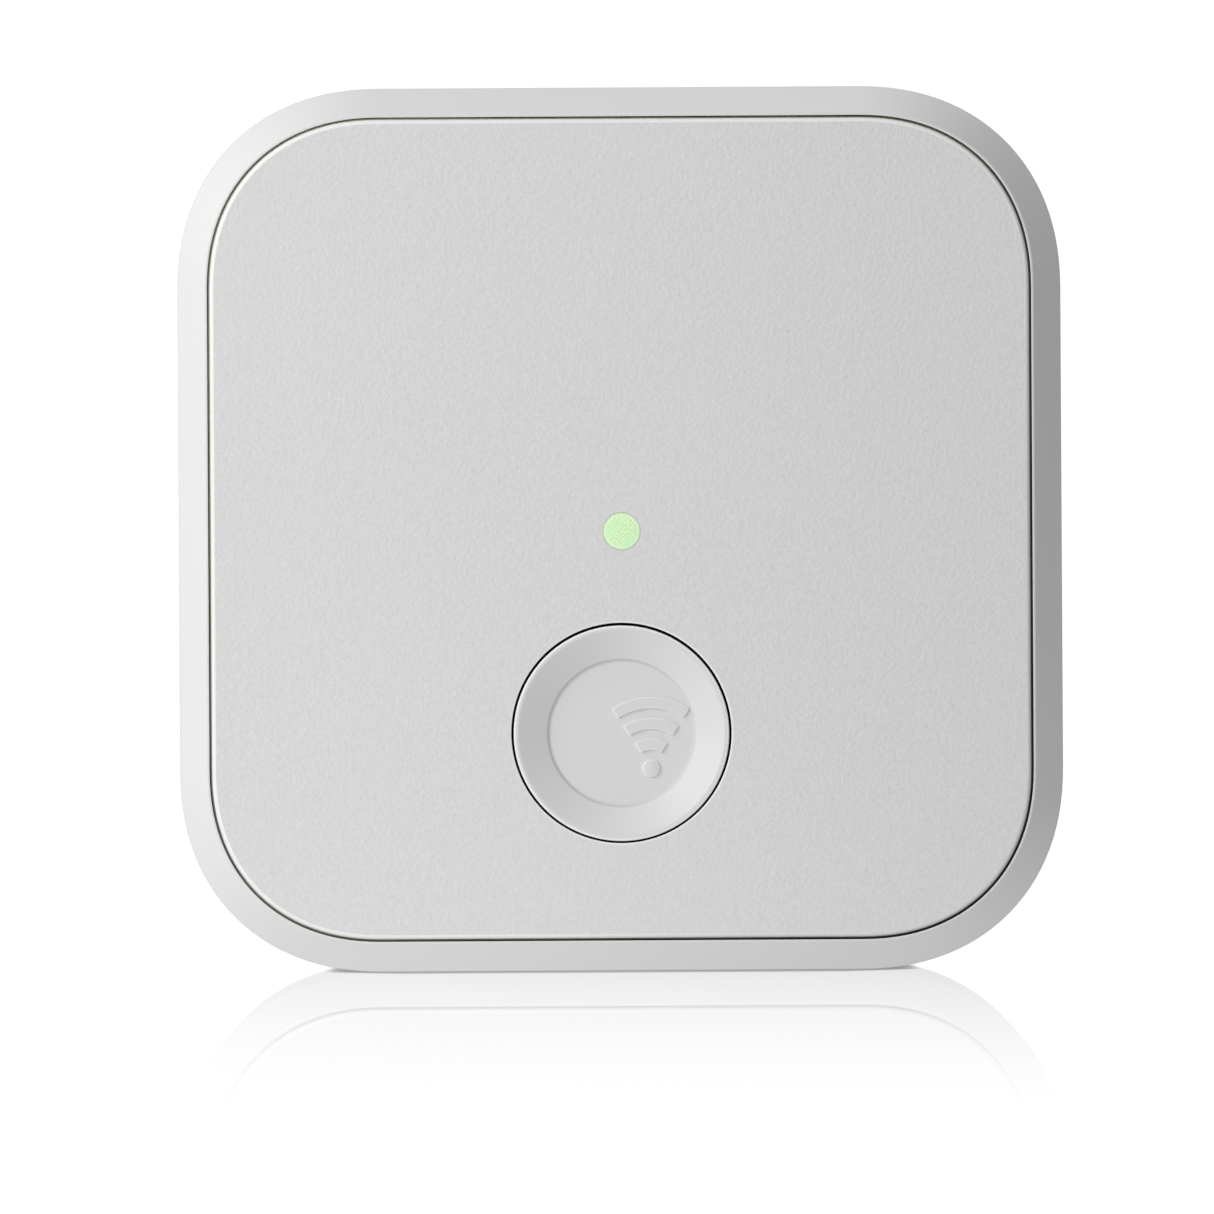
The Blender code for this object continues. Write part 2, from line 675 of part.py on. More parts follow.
def make_switch(axis):
    """The tactile switch behind the cap: hollow base, steel frame, plunger and snap dome."""
    base_back = ON_LOGIC
    side = 6.0 * MM
    cavity_floor = -22.95 * MM
    depth = base_back - SWITCH_TOP
    centre = (0, (base_back + SWITCH_TOP) / 2, 0)
    base = box("switch_base", (side, depth, side), centre, CHIP_BLACK, parent=axis)
    cut(base, rounds("switch_cavity", 2.3 * MM, cavity_floor, SWITCH_TOP - MM, [(0, -BUTTON_DROP)]))

    plate = 0.2 * MM
    outlines = [rectangle(side, side), circle(1.75 * MM)]
    plate_middle = SWITCH_TOP - CONTACT - plate / 2
    flat_plate("switch_frame", outlines, plate, TINNED, (0, plate_middle, 0), axis)

    flange_top = 0.05 * MM
    plunger = [
        (0.0, SWITCH_TOP - PLUNGER_TOP),
        (1.5 * MM, SWITCH_TOP - PLUNGER_TOP),
        (1.6 * MM, SWITCH_TOP - PLUNGER_TOP - 0.1 * MM),
        (1.6 * MM, -flange_top),
        (2.1 * MM, -flange_top),
        (2.1 * MM, -flange_top - 0.5 * MM),
        (0.0, -flange_top - 0.5 * MM),
    ]
    turned("switch_plunger", plunger, SHROUD_BLACK, (0, SWITCH_TOP, 0), parent=axis)

    rim, rise, thick = 2.15 * MM, 0.5 * MM, 0.1 * MM
    shares = [i / 5 for i in range(6)]
    outer = [(rim * s, thick + rise * (1 - s * s)) for s in shares]
    inner = [(radius, height - thick) for radius, height in reversed(outer)]
    turned("switch_dome", outer + inner, TINNED, (0, cavity_floor - CONTACT, 0), parent=axis)


def make_light(axis):
    """The clear pipe that carries the light to the front, its black shroud and the lamp on the board."""
    flange_front = COVER_BACK + CONTACT
    lamp_top = ON_LOGIC - 0.8 * MM
    pipe = [
        (0.0, 0.0),
        (LIGHT_RADIUS - 0.04 * MM, 0.0),
        (LIGHT_RADIUS, -0.04 * MM),
        (LIGHT_RADIUS, FRONT - flange_front),
        (2.2 * MM, FRONT - flange_front),
        (2.2 * MM, FRONT - flange_front - 0.6 * MM),
        (1.1 * MM, FRONT - flange_front - 0.6 * MM),
        (0.9 * MM, FRONT - lamp_top + CONTACT),
        (0.0, FRONT - lamp_top + CONTACT),
    ]
    turned("light_pipe", pipe, LIGHT_GREEN, (0, FRONT, 0), parent=axis)
    shroud_front = flange_front + 0.6 * MM + CONTACT
    length = ON_LOGIC - shroud_front
    shroud = [(2.4 * MM, 0.0), (2.4 * MM, -length), (1.5 * MM, -length), (1.25 * MM, 0.0)]
    turned("light_shroud", shroud, SHROUD_BLACK, (0, shroud_front, 0), closed=True, parent=axis)
    box("status_led", (2.0 * MM, 0.8 * MM, 1.25 * MM), (0, ON_LOGIC - 0.4 * MM, 0), CERAMIC, parent=axis)


# ---------------------------------------------------------------- circuit boards

LINK_AT = (-18.5 * MM, -9.0 * MM)
LINK_PITCH = 2.54 * MM
LINK_PIN = 0.64 * MM


def link_spots():
    return [(LINK_AT[0], LINK_AT[1] + (i - 1.5) * LINK_PITCH) for i in range(4)]


def pin_holes():
    return [rectangle(LINK_PIN + 0.3 * MM, LINK_PIN + 0.3 * MM, x, z) for x, z in link_spots()]


def on_board(name, width, height, tall, x, z, face, material, rounding=0.0):
    """A block standing on a board's front face: width along X, height along Z, tall towards the front."""
    size = (width * MM, tall * MM, height * MM)
    return box(name, size, (x * MM, face - tall * MM / 2, z * MM), material, rounding)


def make_logic_board():
    edge = clipped_square(22.5 * MM, 6.0 * MM)
    holes = [circle(1.0 * MM, x, z, 12) for x, z in four_corners(LOGIC_SCREW_OFFSET)]
    middle = (LOGIC_BOARD_BACK + LOGIC_BOARD_FRONT) / 2
    outlines = [edge, *holes, *pin_holes()]
    flat_plate("logic_board", outlines, LOGIC_BOARD_THICKNESS, BOARD_GREEN, (0, middle, 0))

    on_board("radio_board", 13.0, 18.0, 0.8, 6.5, 12.5, ON_LOGIC, MODULE_BLUE)
    on_module = ON_LOGIC - 0.8 * MM - CONTACT
    shield = on_board("radio_shield", 11.6, 11.6, 1.9, 6.5, 9.8, on_module, TINNED, 0.2 * MM)
    hollow = ((11.2 * MM, 1.7 * MM, 11.2 * MM), (6.5 * MM, on_module - 0.65 * MM + 0.3 * MM, 9.8 * MM))
    cut(shield, blocks("shield_hollow", [hollow]))
    on_board("radio_chip", 6.0, 6.0, 0.9, 6.5, 9.8, on_module, CHIP_BLACK)
    on_board("chip_antenna", 6.5, 2.0, 1.0, 6.5, 19.4, on_module, CERAMIC, 0.1 * MM)
    on_board("processor_chip", 8.0, 8.0, 0.9, -9.0, 9.0, ON_LOGIC, CHIP_BLACK, 0.1 * MM)
    on_board("memory_chip", 5.0, 6.0, 1.6, -9.0, -1.5, ON_LOGIC, CHIP_BLACK, 0.15 * MM)
    on_board("crystal", 3.2, 2.5, 0.8, -16.0, 4.0, ON_LOGIC, TINNED, 0.15 * MM)
    on_board("power_inductor", 5.0, 5.0, 2.2, 15.5, -5.0, ON_LOGIC, FERRITE, 0.4 * MM)


def make_mains_board():
    edge = clipped_square(22.0 * MM, 6.0 * MM)
    holes = [circle(1.2 * MM, side * MAINS_SCREW_OFFSET, 0.0, 12) for side in (-1, 1)]
    slots = [rectangle(1.9 * MM, 3.4 * MM, side * BLADE_SPACING / 2, 0.0) for side in (-1, 1)]
    middle = (MAINS_BOARD_BACK + MAINS_BOARD_FRONT) / 2
    outlines = [edge, *holes, *slots, *pin_holes()]
    flat_plate("mains_board", outlines, MAINS_BOARD_THICKNESS, BOARD_GREEN, (0, middle, 0))
    on_board("power_chip", 5.0, 4.0, 1.6, 6.0, 6.6, ON_MAINS, CHIP_BLACK, 0.15 * MM)
    on_board("bridge_rectifier", 6.5, 5.0, 2.6, 14.0, 6.0, ON_MAINS, CHIP_BLACK, 0.2 * MM)
    on_board("optocoupler", 4.6, 6.4, 3.4, -9.0, -8.0, ON_MAINS, CHIP_BLACK, 0.2 * MM)
    on_board("output_diode", 4.5, 2.6, 2.2, -12.0, -1.4, ON_MAINS, CHIP_BLACK, 0.2 * MM)


def make_link():
    """The stacking header that carries low voltage from the mains board to the logic board."""
    body = on_board("link_header", 2.5, 10.2, 2.5, LINK_AT[0] / MM, LINK_AT[1] / MM, ON_MAINS, BOBBIN_BLACK)
    wide = LINK_PIN + 0.2 * MM
    cut(body, blocks("header_holes", [((wide, 20 * MM, wide), (x, -8 * MM, z)) for x, z in link_spots()]))
    back, front = -4.0 * MM, LOGIC_BOARD_FRONT - 1.0 * MM
    size = (LINK_PIN, back - front, LINK_PIN)
    for number, (x, z) in enumerate(link_spots(), 1):
        box(f"link_pin_{number}", size, (x, (back + front) / 2, z), BRASS)


def make_hood():
    """The insulating hood over the mains board: open at the back, slotted for the link pins, and held by
    two tabs that share the board's screws."""
    half, clip, skin = 24.6 * MM, 8.4 * MM, 0.8 * MM
    sections = [(half, HOOD_BACK), (half, HOOD_FRONT)]
    mesh = loft("insulating_hood", lambda size: clipped_square(size, clip), sections, "open")
    hood = place("insulating_hood", mesh, HOOD_WHITE)
    wall = hood.modifiers.new("wall", "SOLIDIFY")
    wall.thickness = skin
    wall.offset = -1
    wall.use_even_offset = True
    slot = ((2.4 * MM, 6 * MM, 10.8 * MM), (LINK_AT[0], HOOD_FRONT, LINK_AT[1]))
    cut(hood, blocks("link_slot", [slot]))
    tab_end = 17.2 * MM
    tab_width = half - skin / 2 - tab_end
    size = (tab_width, HOOD_TAB, 4.6 * MM)
    tab_y = ON_MAINS - HOOD_TAB / 2
    tab_x = tab_end + tab_width / 2
    join(hood, blocks("hood_tabs", [(size, (side * tab_x, tab_y, 0)) for side in (-1, 1)]))
    spots = [(side * MAINS_SCREW_OFFSET, 0.0) for side in (-1, 1)]
    cut(hood, rounds("hood_tab_holes", 1.2 * MM, ON_MAINS + MM, ON_MAINS - 3 * MM, spots, 12))


# ---------------------------------------------------------------- power parts


def make_transformer():
    """An E-core transformer lying on the mains board, its winding axis along Z."""
    x, z = -9.5 * MM, 11.0 * MM
    centre_y = ON_MAINS - 6.2 * MM
    core_half_width, leg, back_bar = 6.5 * MM, 1.3 * MM, 1.4 * MM
    reach, middle_leg = 6.0 * MM, 1.5 * MM
    gap = CONTACT
    e_shape = [
        (-core_half_width, gap),
        (-core_half_width + leg, gap),
        (-core_half_width + leg, reach - back_bar),
        (-middle_leg, reach - back_bar),
        (-middle_leg, gap),
        (middle_leg, gap),
        (middle_leg, reach - back_bar),
        (core_half_width - leg, reach - back_bar),
        (core_half_width - leg, gap),
        (core_half_width, gap),
        (core_half_width, reach),
        (-core_half_width, reach),
    ]
    thickness = 6.0 * MM
    flat_plate("transformer_core_upper", [e_shape], thickness, FERRITE, (x, centre_y, z))
    lower = [(u, -v) for u, v in reversed(e_shape)]
    flat_plate("transformer_core_lower", [lower], thickness, FERRITE, (x, centre_y, z))

    def at(size, dy=0.0, dz=0.0):
        return tuple(s * MM for s in size), (x, centre_y + dy * MM, z + dz * MM)

    size, centre = at((4.4, 7.4, 8.6))
    bobbin = box("transformer_bobbin", size, centre, BOBBIN_BLACK)
    for number, side in enumerate((-1, 1), 1):
        join(bobbin, blocks(f"bobbin_flange_{number}", [at((9.8, 10.8, 0.8), dz=side * 3.95)]))
        join(bobbin, blocks(f"bobbin_rail_{number}", [at((11.0, 1.6, 3.2), dy=5.35, dz=side * 5.1)]))
    cut(bobbin, blocks("bobbin_tube", [at((3.2, 6.2, 12.0))]))

    size, centre = at((9.2, 10.0, 7.0))
    winding = box("transformer_winding", size, centre, TAPE_YELLOW, 0.9 * MM)
    cut(winding, blocks("winding_hole", [at((4.6, 7.6, 9.0))]))


def make_capacitor(name, radius, height, x, z):
    """A radial electrolytic capacitor: sleeved can with a crimped groove near its foot."""
    r, h = radius * MM, height * MM
    profile = [
        (0.0, h),
        (r - 0.5 * MM, h),
        (r, h - 0.4 * MM),
        (r, 1.9 * MM),
        (r - 0.3 * MM, 1.5 * MM),
        (r, 1.1 * MM),
        (r, 0.2 * MM),
        (r - 0.4 * MM, 0.0),
        (0.0, 0.0),
    ]
    turned(name, profile, SLEEVE_DARK, (x * MM, ON_MAINS, z * MM))


def make_choke():
    """The drum choke on the mains input, under heat-shrink."""
    r, h = 3.6 * MM, 8.0 * MM
    profile = [
        (0.0, h),
        (r - 0.2 * MM, h),
        (r, h - 0.3 * MM),
        (r, h - 1.4 * MM),
        (r - 0.5 * MM, h - 1.8 * MM),
        (r - 0.5 * MM, 1.8 * MM),
        (r, 1.4 * MM),
        (r, 0.3 * MM),
        (r - 0.2 * MM, 0.0),
        (0.0, 0.0),
    ]
    turned("input_choke", profile, FERRITE, (13.5 * MM, ON_MAINS, -8.0 * MM))


def add_legs(thing, name, spots, top, radius=0.3 * MM):
    """Wire legs from a part down to the mains board."""
    for number, (x, z) in enumerate(spots, 1):
        join(thing, rounds(f"{name}_leg_{number}", radius, ON_MAINS, top, [(x, z)], steps=8))


def make_disc_capacitor():
    radius, thick = 4.0 * MM, 3.4 * MM
    x, z = 3.0 * MM, -8.0 * MM
    centre_y = ON_MAINS - 1.2 * MM - radius
    profile = [
        (0.0, thick / 2),
        (radius * 0.72, thick / 2),
        (radius * 0.93, thick * 0.32),
        (radius, 0.0),
        (radius * 0.93, -thick * 0.32),
        (radius * 0.72, -thick / 2),
        (0.0, -thick / 2),
    ]
    disc = turned("safety_capacitor", profile, DISC_BLUE, (x, centre_y, z), rotation=(0, 0, 0))
    add_legs(disc, "disc", [(x - 2.2 * MM, z), (x + 2.2 * MM, z)], centre_y)


def make_resistor():
    """The fusible resistor, lying along X, with its leads turned down to the board."""
    radius, body, reach, wire = 1.5 * MM, 3.4 * MM, 5.0 * MM, 0.35 * MM
    x, z = 5.5 * MM, -17.5 * MM
    centre_y = ON_MAINS - 2.2 * MM
    profile = [
        (0.0, reach),
        (wire, reach),
        (wire, body),
        (radius * 0.8, body),
        (radius, body - 0.4 * MM),
        (radius, -body + 0.4 * MM),
        (radius * 0.8, -body),
        (wire, -body),
        (wire, -reach),
        (0.0, -reach),
    ]
    resistor = turned(
        "fusible_resistor", profile, RESISTOR_GREEN, (x, centre_y, z), rotation=(0, math.pi / 2, 0), steps=16
    )
    inset = reach - 0.3 * MM
    add_legs(resistor, "resistor", [(x - inset, z), (x + inset, z)], centre_y + 0.1 * MM, 0.28 * MM)


# ---------------------------------------------------------------- assembly


def make_axis(name, z):
    """An empty on the line that a button or light shares with what works it."""
    axis = bpy.data.objects.new(name, None)
    axis.location = (0, 0, z)
    parts.objects.link(axis)
    return axis


make_outer_shell()
make_front_cover()
make_rear_cover()
make_label()
make_screws()
make_blades()
make_blade_clamp()

button_axis = make_axis("button_axis", -BUTTON_DROP)
make_button(button_axis)
make_button_spring(button_axis)
make_switch(button_axis)
make_light(make_axis("light_axis", -LIGHT_DROP))

make_logic_board()
make_mains_board()
make_link()
make_hood()
make_transformer()
make_capacitor("bulk_capacitor_1", 4.0, 11.2, 4.0, 16.3)
make_capacitor("bulk_capacitor_2", 4.0, 11.2, 13.0, 15.0)
make_capacitor("output_capacitor", 3.15, 9.0, -9.5, -16.5)
make_choke()
make_disc_capacitor()
make_resistor()
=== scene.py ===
"""Looks of the plug-in smart home hub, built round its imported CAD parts.

The frame is the CAD's: +X to the right and +Z up seen from the front, which faces -Y; the wall face is at
y = 0. Places come from the CAD nodes' boxes, and lengths below are in millimetres times MM.
"""

import math

import bmesh
import bpy
from mathutils import Matrix, Vector


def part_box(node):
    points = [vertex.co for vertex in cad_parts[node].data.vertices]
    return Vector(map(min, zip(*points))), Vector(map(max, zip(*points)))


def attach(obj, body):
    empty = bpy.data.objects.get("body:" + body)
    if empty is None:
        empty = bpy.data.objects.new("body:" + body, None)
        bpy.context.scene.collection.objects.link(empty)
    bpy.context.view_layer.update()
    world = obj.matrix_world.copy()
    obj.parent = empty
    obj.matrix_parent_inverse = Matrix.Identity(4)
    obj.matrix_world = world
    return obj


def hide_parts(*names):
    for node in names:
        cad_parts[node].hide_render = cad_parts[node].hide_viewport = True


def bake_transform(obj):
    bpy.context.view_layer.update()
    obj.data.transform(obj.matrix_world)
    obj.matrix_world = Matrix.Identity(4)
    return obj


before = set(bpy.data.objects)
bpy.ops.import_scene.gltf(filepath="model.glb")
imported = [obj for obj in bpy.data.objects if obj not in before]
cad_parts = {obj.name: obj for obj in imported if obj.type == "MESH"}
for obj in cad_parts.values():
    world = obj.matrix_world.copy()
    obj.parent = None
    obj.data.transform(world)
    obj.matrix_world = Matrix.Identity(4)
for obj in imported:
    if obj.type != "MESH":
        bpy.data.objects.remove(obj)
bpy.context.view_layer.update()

MM = 0.001

# ---- sizes that the CAD nodes give


def middle(node):
    low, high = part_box(node)
    return (low + high) / 2


SHELL_LOW, SHELL_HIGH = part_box("outer_shell")
HALF = SHELL_HIGH.x
FRONT = SHELL_LOW.y
COVER_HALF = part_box("front_cover")[1].x
REAR_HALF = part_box("rear_cover")[1].x
REAR_PAD_FRONT = -3.2 * MM
BUTTON_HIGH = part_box("button_cap")[1]
BUTTON_Z = middle("button_cap").z
CAP_Z = BUTTON_Z - 0.02 * MM  # the cap hangs a little low in its hole
LIGHT_Z = middle("light_pipe").z
LABEL_LOW, LABEL_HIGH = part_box("rating_label")
FLOOR_Z = SHELL_LOW.z

# ---- sizes of the fine surface

CORNER = 13.8 * MM
CORNER_EXPONENT = 2.2
CORNER_STEPS = 28

BEZEL_DEPTH = 5.9 * MM
BEZEL_INSET = 2.0 * MM
BEZEL_BEND = 1.2 * MM  # radius where the bezel meets the straight walls
LIP_ROUND = 0.18 * MM
LIP_EDGE = 0.03 * MM
REAR_ROUND = 0.8 * MM
WALL = 1.8 * MM
COVER_GAP = 0.13 * MM
COVER_THICKNESS = 2.0 * MM
COVER_ROUND = 0.32 * MM
COVER_STEP_DEPTH = 0.55 * MM  # below it the plate is wider and closes the groove
COVER_STEP_GAP = 0.05 * MM
LEDGE_WIDTH = 1.4 * MM
LEDGE_THICKNESS = 1.2 * MM

BUTTON_RADIUS = 7.28 * MM
BUTTON_GAP = 0.15 * MM
BUTTON_EDGE = 0.12 * MM
DISH_RIM = 6.98 * MM
DISH_RADIUS = 5.03 * MM
DISH_DEPTH = 0.94 * MM
DISH_STEP = 0.18 * MM
RELIEF_HEIGHT = 0.15 * MM
LIGHT_RADIUS = 1.28 * MM
LIGHT_X = 0.08 * MM  # the pipe sits a little to the right of the button's axis

REAR_THICKNESS = 2.0 * MM
BLADE_THICKNESS = 1.5 * MM
BLADE_WIDTH = 6.35 * MM

LATHE_STEPS = 128

OPENING_HALF = COVER_HALF + COVER_GAP
COVER_BACK = FRONT + COVER_THICKNESS

# ---- node trees


class Nodes:
    """Builds the node tree of its owner, a material or world. Inputs are values or other nodes' outputs."""

    def __init__(self, owner):
        owner.use_nodes = True
        self.owner, self.tree = owner, owner.node_tree
        self.tree.nodes.clear()

    def add(self, kind, inputs=None, **settings):
        """A shader node of that kind with its settings, and its inputs set or linked by name or index."""
        node = self.tree.nodes.new("ShaderNode" + kind)
        for key, value in settings.items():
            setattr(node, key, value)
        for key, value in (inputs or {}).items():
            socket = node.inputs[key]
            if isinstance(value, bpy.types.NodeSocket):
                self.tree.links.new(value, socket)
            else:
                socket.default_value = (*value, 1.0) if socket.type == "RGBA" else value
        return node

    def noise(self, vector, scale, detail=2.0, roughness=0.5):
        inputs = {"Vector": vector, "Scale": scale, "Detail": detail, "Roughness": roughness}
        return self.add("TexNoise", inputs).outputs["Fac"]

    def math(self, operation, first, second=0.0):
        return self.add("Math", {0: first, 1: second}, operation=operation).outputs[0]

    def times(self, first, second):
        return self.math("MULTIPLY", first, second)

    def minus(self, first, second):
        return self.math("SUBTRACT", first, second)

    def below(self, value, limit):
        return self.math("LESS_THAN", value, limit)

    def off(self, value, centre):
        """How far value is from centre, either way."""
        return self.math("ABSOLUTE", self.minus(value, centre))

    def vector(self, operation, first, second, output=0):
        return self.add("VectorMath", {0: first, 1: second}, operation=operation).outputs[output]

    def distance(self, first, second):
        return self.vector("DISTANCE", first, second, "Value")

    def axis(self, vector, name):
        return self.add("SeparateXYZ", {0: vector}).outputs[name]

    def ramp(self, value, low, high, start=0.0, end=1.0, smooth=False):
        """value taken from start..end to low..high, and held at both ends."""
        kind = "SMOOTHSTEP" if smooth else "LINEAR"
        inputs = {"Value": value, "From Min": start, "From Max": end, "To Min": low, "To Max": high}
        return self.add("MapRange", inputs, interpolation_type=kind).outputs["Result"]

    def mix(self, factor, first, second):
        return self.add("Mix", {0: factor, 6: first, 7: second}, data_type="RGBA").outputs[2]

    def bump(self, height, strength, distance, normal=None):
        inputs = {"Height": height, "Strength": strength, "Distance": distance}
        if normal is not None:
            inputs["Normal"] = normal
        return self.add("Bump", inputs).outputs["Normal"]

    def surface(self, **inputs):
        """Adds the one shader, whose inputs are named with _ for a space, and gives back the material."""
        named = {key.replace("_", " "): value for key, value in inputs.items()}
        shader = self.add("BsdfPrincipled", named)
        self.add("OutputMaterial", {"Surface": shader.outputs[0]})
        return self.owner


def new_material(name):
    """Nodes for a new material, and the point being shaded."""
    nodes = Nodes(bpy.data.materials.new(name))
    return nodes, nodes.add("TexCoord").outputs["Object"]


def shaded(colour, share):
    return tuple(min(channel * share, 1.0) for channel in colour)


def plastic(name, colour, roughness, grain_size, grain_depth, tint=0.012, painted_shade=None):
    """Moulded plastic, finely grained, uneven in colour and gloss. Its last argument builds the share of
    painted shade, a darker copy of the colour.
    """
    nodes, place = new_material(name)
    grain = nodes.noise(place, 1 / grain_size, 2.5, 0.55)
    fine = nodes.noise(place, 2.7 / grain_size, 1.0)
    cloud = nodes.noise(place, 55.0, 3.0)
    speckle = nodes.ramp(grain, 0.0, 1.0, 0.25, 0.75)
    shade = nodes.mix(speckle, shaded(colour, 1 - 2.2 * tint), shaded(colour, 1 + tint))
    warm = (colour[0], colour[1] * 0.998, colour[2] * 0.993)
    surface = nodes.mix(nodes.ramp(cloud, 0.0, 0.35, 0.35, 0.7), shade, warm)
    # Painted shade: a darker copy of the colour, mixed in where the last argument asks for it.
    if painted_shade:
        surface = nodes.mix(painted_shade(nodes, place), surface, shaded(colour, 0.55))
    return nodes.surface(
        Base_Color=surface,
        Roughness=nodes.ramp(cloud, roughness - 0.04, roughness + 0.05, 0.3, 0.7),
        Specular_IOR_Level=0.45,
        Normal=nodes.bump(fine, 0.4, grain_depth * 0.5, nodes.bump(grain, 1.0, grain_depth)),
    )


def crease_shade(nodes, place):
    """Painted shade in the crease at the edge of the dish's floor: a dark ring there."""
    radius = nodes.distance(nodes.vector("MULTIPLY", place, (1.0, 0.0, 1.0)), (0.0, 0.0, CAP_Z))
    off = nodes.off(radius, DISH_RADIUS - 0.10 * MM)
    return nodes.ramp(off, 0.30, 0.0, 0.02 * MM, 0.16 * MM, smooth=True)


def lean(nodes, place):
    """How far up and to the left a point lies, in metres. Painted shade is laid the other way."""
    return nodes.vector("DOT_PRODUCT", place, (-0.6, 0.0, 0.4), "Value")


def edge_shade(nodes, place):
    """Painted shade on the rounded edges, low and to the right."""
    return nodes.ramp(lean(nodes, place), 0.30, 0.0, -0.016, -0.008)


def metal(name, colour, roughness, scratch_axis, grain=0.25 * MM):
    """Metal sheet or wire with fine drawn lines along one axis and slight tarnish."""
    nodes, place = new_material(name)
    stretch = [0.04 if axis == scratch_axis else 1.0 for axis in "XYZ"]
    lines = nodes.noise(nodes.vector("MULTIPLY", place, stretch), 1 / grain, 3.0, 0.7)
    cloud = nodes.noise(place, 180.0, 3.0)
    return nodes.surface(
        Base_Color=nodes.mix(nodes.ramp(cloud, 0.0, 0.7, 0.35, 0.75), colour, shaded(colour, 0.82)),
        Metallic=1.0,
        Roughness=nodes.ramp(lines, roughness - 0.06, roughness + 0.12, 0.25, 0.75),
        Normal=nodes.bump(lines, 0.6, 0.004 * MM),
    )


def make_gap_shade():
    """The groove's walls and floor: the case plastic with painted shade, dark low and to the right and pale
    up and to the left.
    """
    nodes, place = new_material("gap_painted_shade")
    lit_side = nodes.ramp(lean(nodes, place), 0.0, 1.0, -0.022, 0.022)
    cloud = nodes.noise(place, 2500.0)
    light = nodes.mix(cloud, (0.80, 0.79, 0.70), (0.93, 0.92, 0.83))
    colour = nodes.mix(lit_side, (0.16, 0.16, 0.135), light)
    return nodes.surface(Base_Color=colour, Roughness=0.7, Specular_IOR_Level=0.2)


def make_deep_plastic():
    """The walls of the button's gap, which light doesn't reach: the case plastic, darkened with depth."""
    nodes, place = new_material("deep_gap_plastic")
    depth = nodes.axis(place, "Y")
    reach = nodes.ramp(depth, 1.0, 0.0, FRONT + 0.10 * MM, FRONT + 0.75 * MM, smooth=True)
    deep = nodes.mix(nodes.noise(place, 2500.0), (0.025, 0.025, 0.022), (0.05, 0.05, 0.043))
    colour = nodes.mix(reach, deep, (0.40, 0.40, 0.38))
    return nodes.surface(Base_Color=colour, Roughness=0.7, Specular_IOR_Level=0.2)


def make_light_material():
    """The light pipe: a pale green glow behind fine crossed lines, paler and then duller at its rim."""
    nodes, place = new_material("lit_pipe")
    waves = []
    for axis in ("X", "Z"):
        bend = nodes.ramp(nodes.noise(place, 2400.0), 0.0, 0.09 * MM)
        bent = nodes.math("ADD", nodes.axis(place, axis), bend)
        waves.append(nodes.math("SINE", nodes.times(bent, 2 * math.pi / (0.31 * MM))))
    crossed = nodes.times(*waves)
    speck = nodes.ramp(nodes.noise(place, 6500.0, 1.0), -1.0, 1.0, 0.35, 0.65)
    weave = nodes.math("ADD", nodes.times(crossed, 0.6), nodes.times(speck, 0.5))
    radius = nodes.distance(place, (LIGHT_X, FRONT, LIGHT_Z))
    green = nodes.mix(nodes.ramp(weave, 0.0, 1.0, -0.9, 0.9), (0.46, 0.72, 0.36), (0.78, 0.96, 0.64))
    patch = nodes.ramp(nodes.noise(place, 900.0), 0.0, 0.55, 0.42, 0.62)
    minty = nodes.mix(patch, green, (0.50, 0.86, 0.46))
    off = nodes.off(radius, LIGHT_RADIUS * 0.86)
    ringed = nodes.mix(nodes.ramp(off, 0.45, 0.0, 0.0, 0.10 * MM), minty, (0.78, 0.91, 0.70))
    rim = nodes.ramp(radius, 0.0, 1.0, LIGHT_RADIUS * 0.90, LIGHT_RADIUS * 1.02, smooth=True)
    shade = nodes.mix(rim, ringed, (0.50, 0.58, 0.46))
    return nodes.surface(
        Base_Color=shade,
        Roughness=0.35,
        Emission_Color=shade,
        Emission_Strength=nodes.ramp(rim, 0.22, 0.03),
    )


WHITE = (0.78, 0.78, 0.779)
CASE = plastic("case_grain", WHITE, 0.50, 0.27 * MM, 0.042 * MM, tint=0.027)
# Painted shade: a darker copy of the case white for the bezel's bend and the walls behind it.
SIDE = plastic("case_side_shade", (0.70, 0.70, 0.695), 0.50, 0.28 * MM, 0.010 * MM)
BEZEL = plastic("case_satin", WHITE, 0.42, 0.22 * MM, 0.0015 * MM, tint=0.004)
CAP_WHITE = (0.768, 0.768, 0.767)
BUTTON = plastic("button_satin", CAP_WHITE, 0.40, 0.25 * MM, 0.0012 * MM, tint=0.004, painted_shade=crease_shade)
# Painted highlight: a paler copy of the case white for the rounded edges that catch the light, with painted
# shade low and to the right.
HIGHLIGHT_PALE = (0.93, 0.93, 0.925)
EDGE_HIGHLIGHT = plastic("painted_highlight_edge", HIGHLIGHT_PALE, 0.30, 0.25 * MM, 0.0005 * MM, tint=0.003, painted_shade=edge_shade)
GAP = make_gap_shade()
DEEP = make_deep_plastic()
LIT = make_light_material()
NICKEL = metal("blade_nickel", (0.72, 0.69, 0.62), 0.24, "Y")
ZINC = metal("screw_zinc", (0.60, 0.61, 0.63), 0.34, "Y", 0.12 * MM)


# ---- outlines and profiles


def rounded_square(half):
    """Points (x, z) round a square whose corners follow a superellipse, as on the CAD case."""
    corner = CORNER - (HALF - half)
    power = 2.0 / CORNER_EXPONENT
    points = []
    for quarter in range(4):
        for step in range(CORNER_STEPS + 1):
            angle = math.pi / 2 * step / CORNER_STEPS
            x = half - corner + corner * max(math.cos(angle), 0.0) ** power
            z = half - corner + corner * max(math.sin(angle), 0.0) ** power
            for _ in range(quarter):
                x, z = -z, x
            points.append((x, z))
    return points


def arc_points(centre, radius, start, end, steps):
    points = []
    for step in range(steps + 1):
        angle = math.radians(start + (end - start) * step / steps)
        points.append((centre[0] + radius * math.cos(angle), centre[1] + radius * math.sin(angle)))
    return points


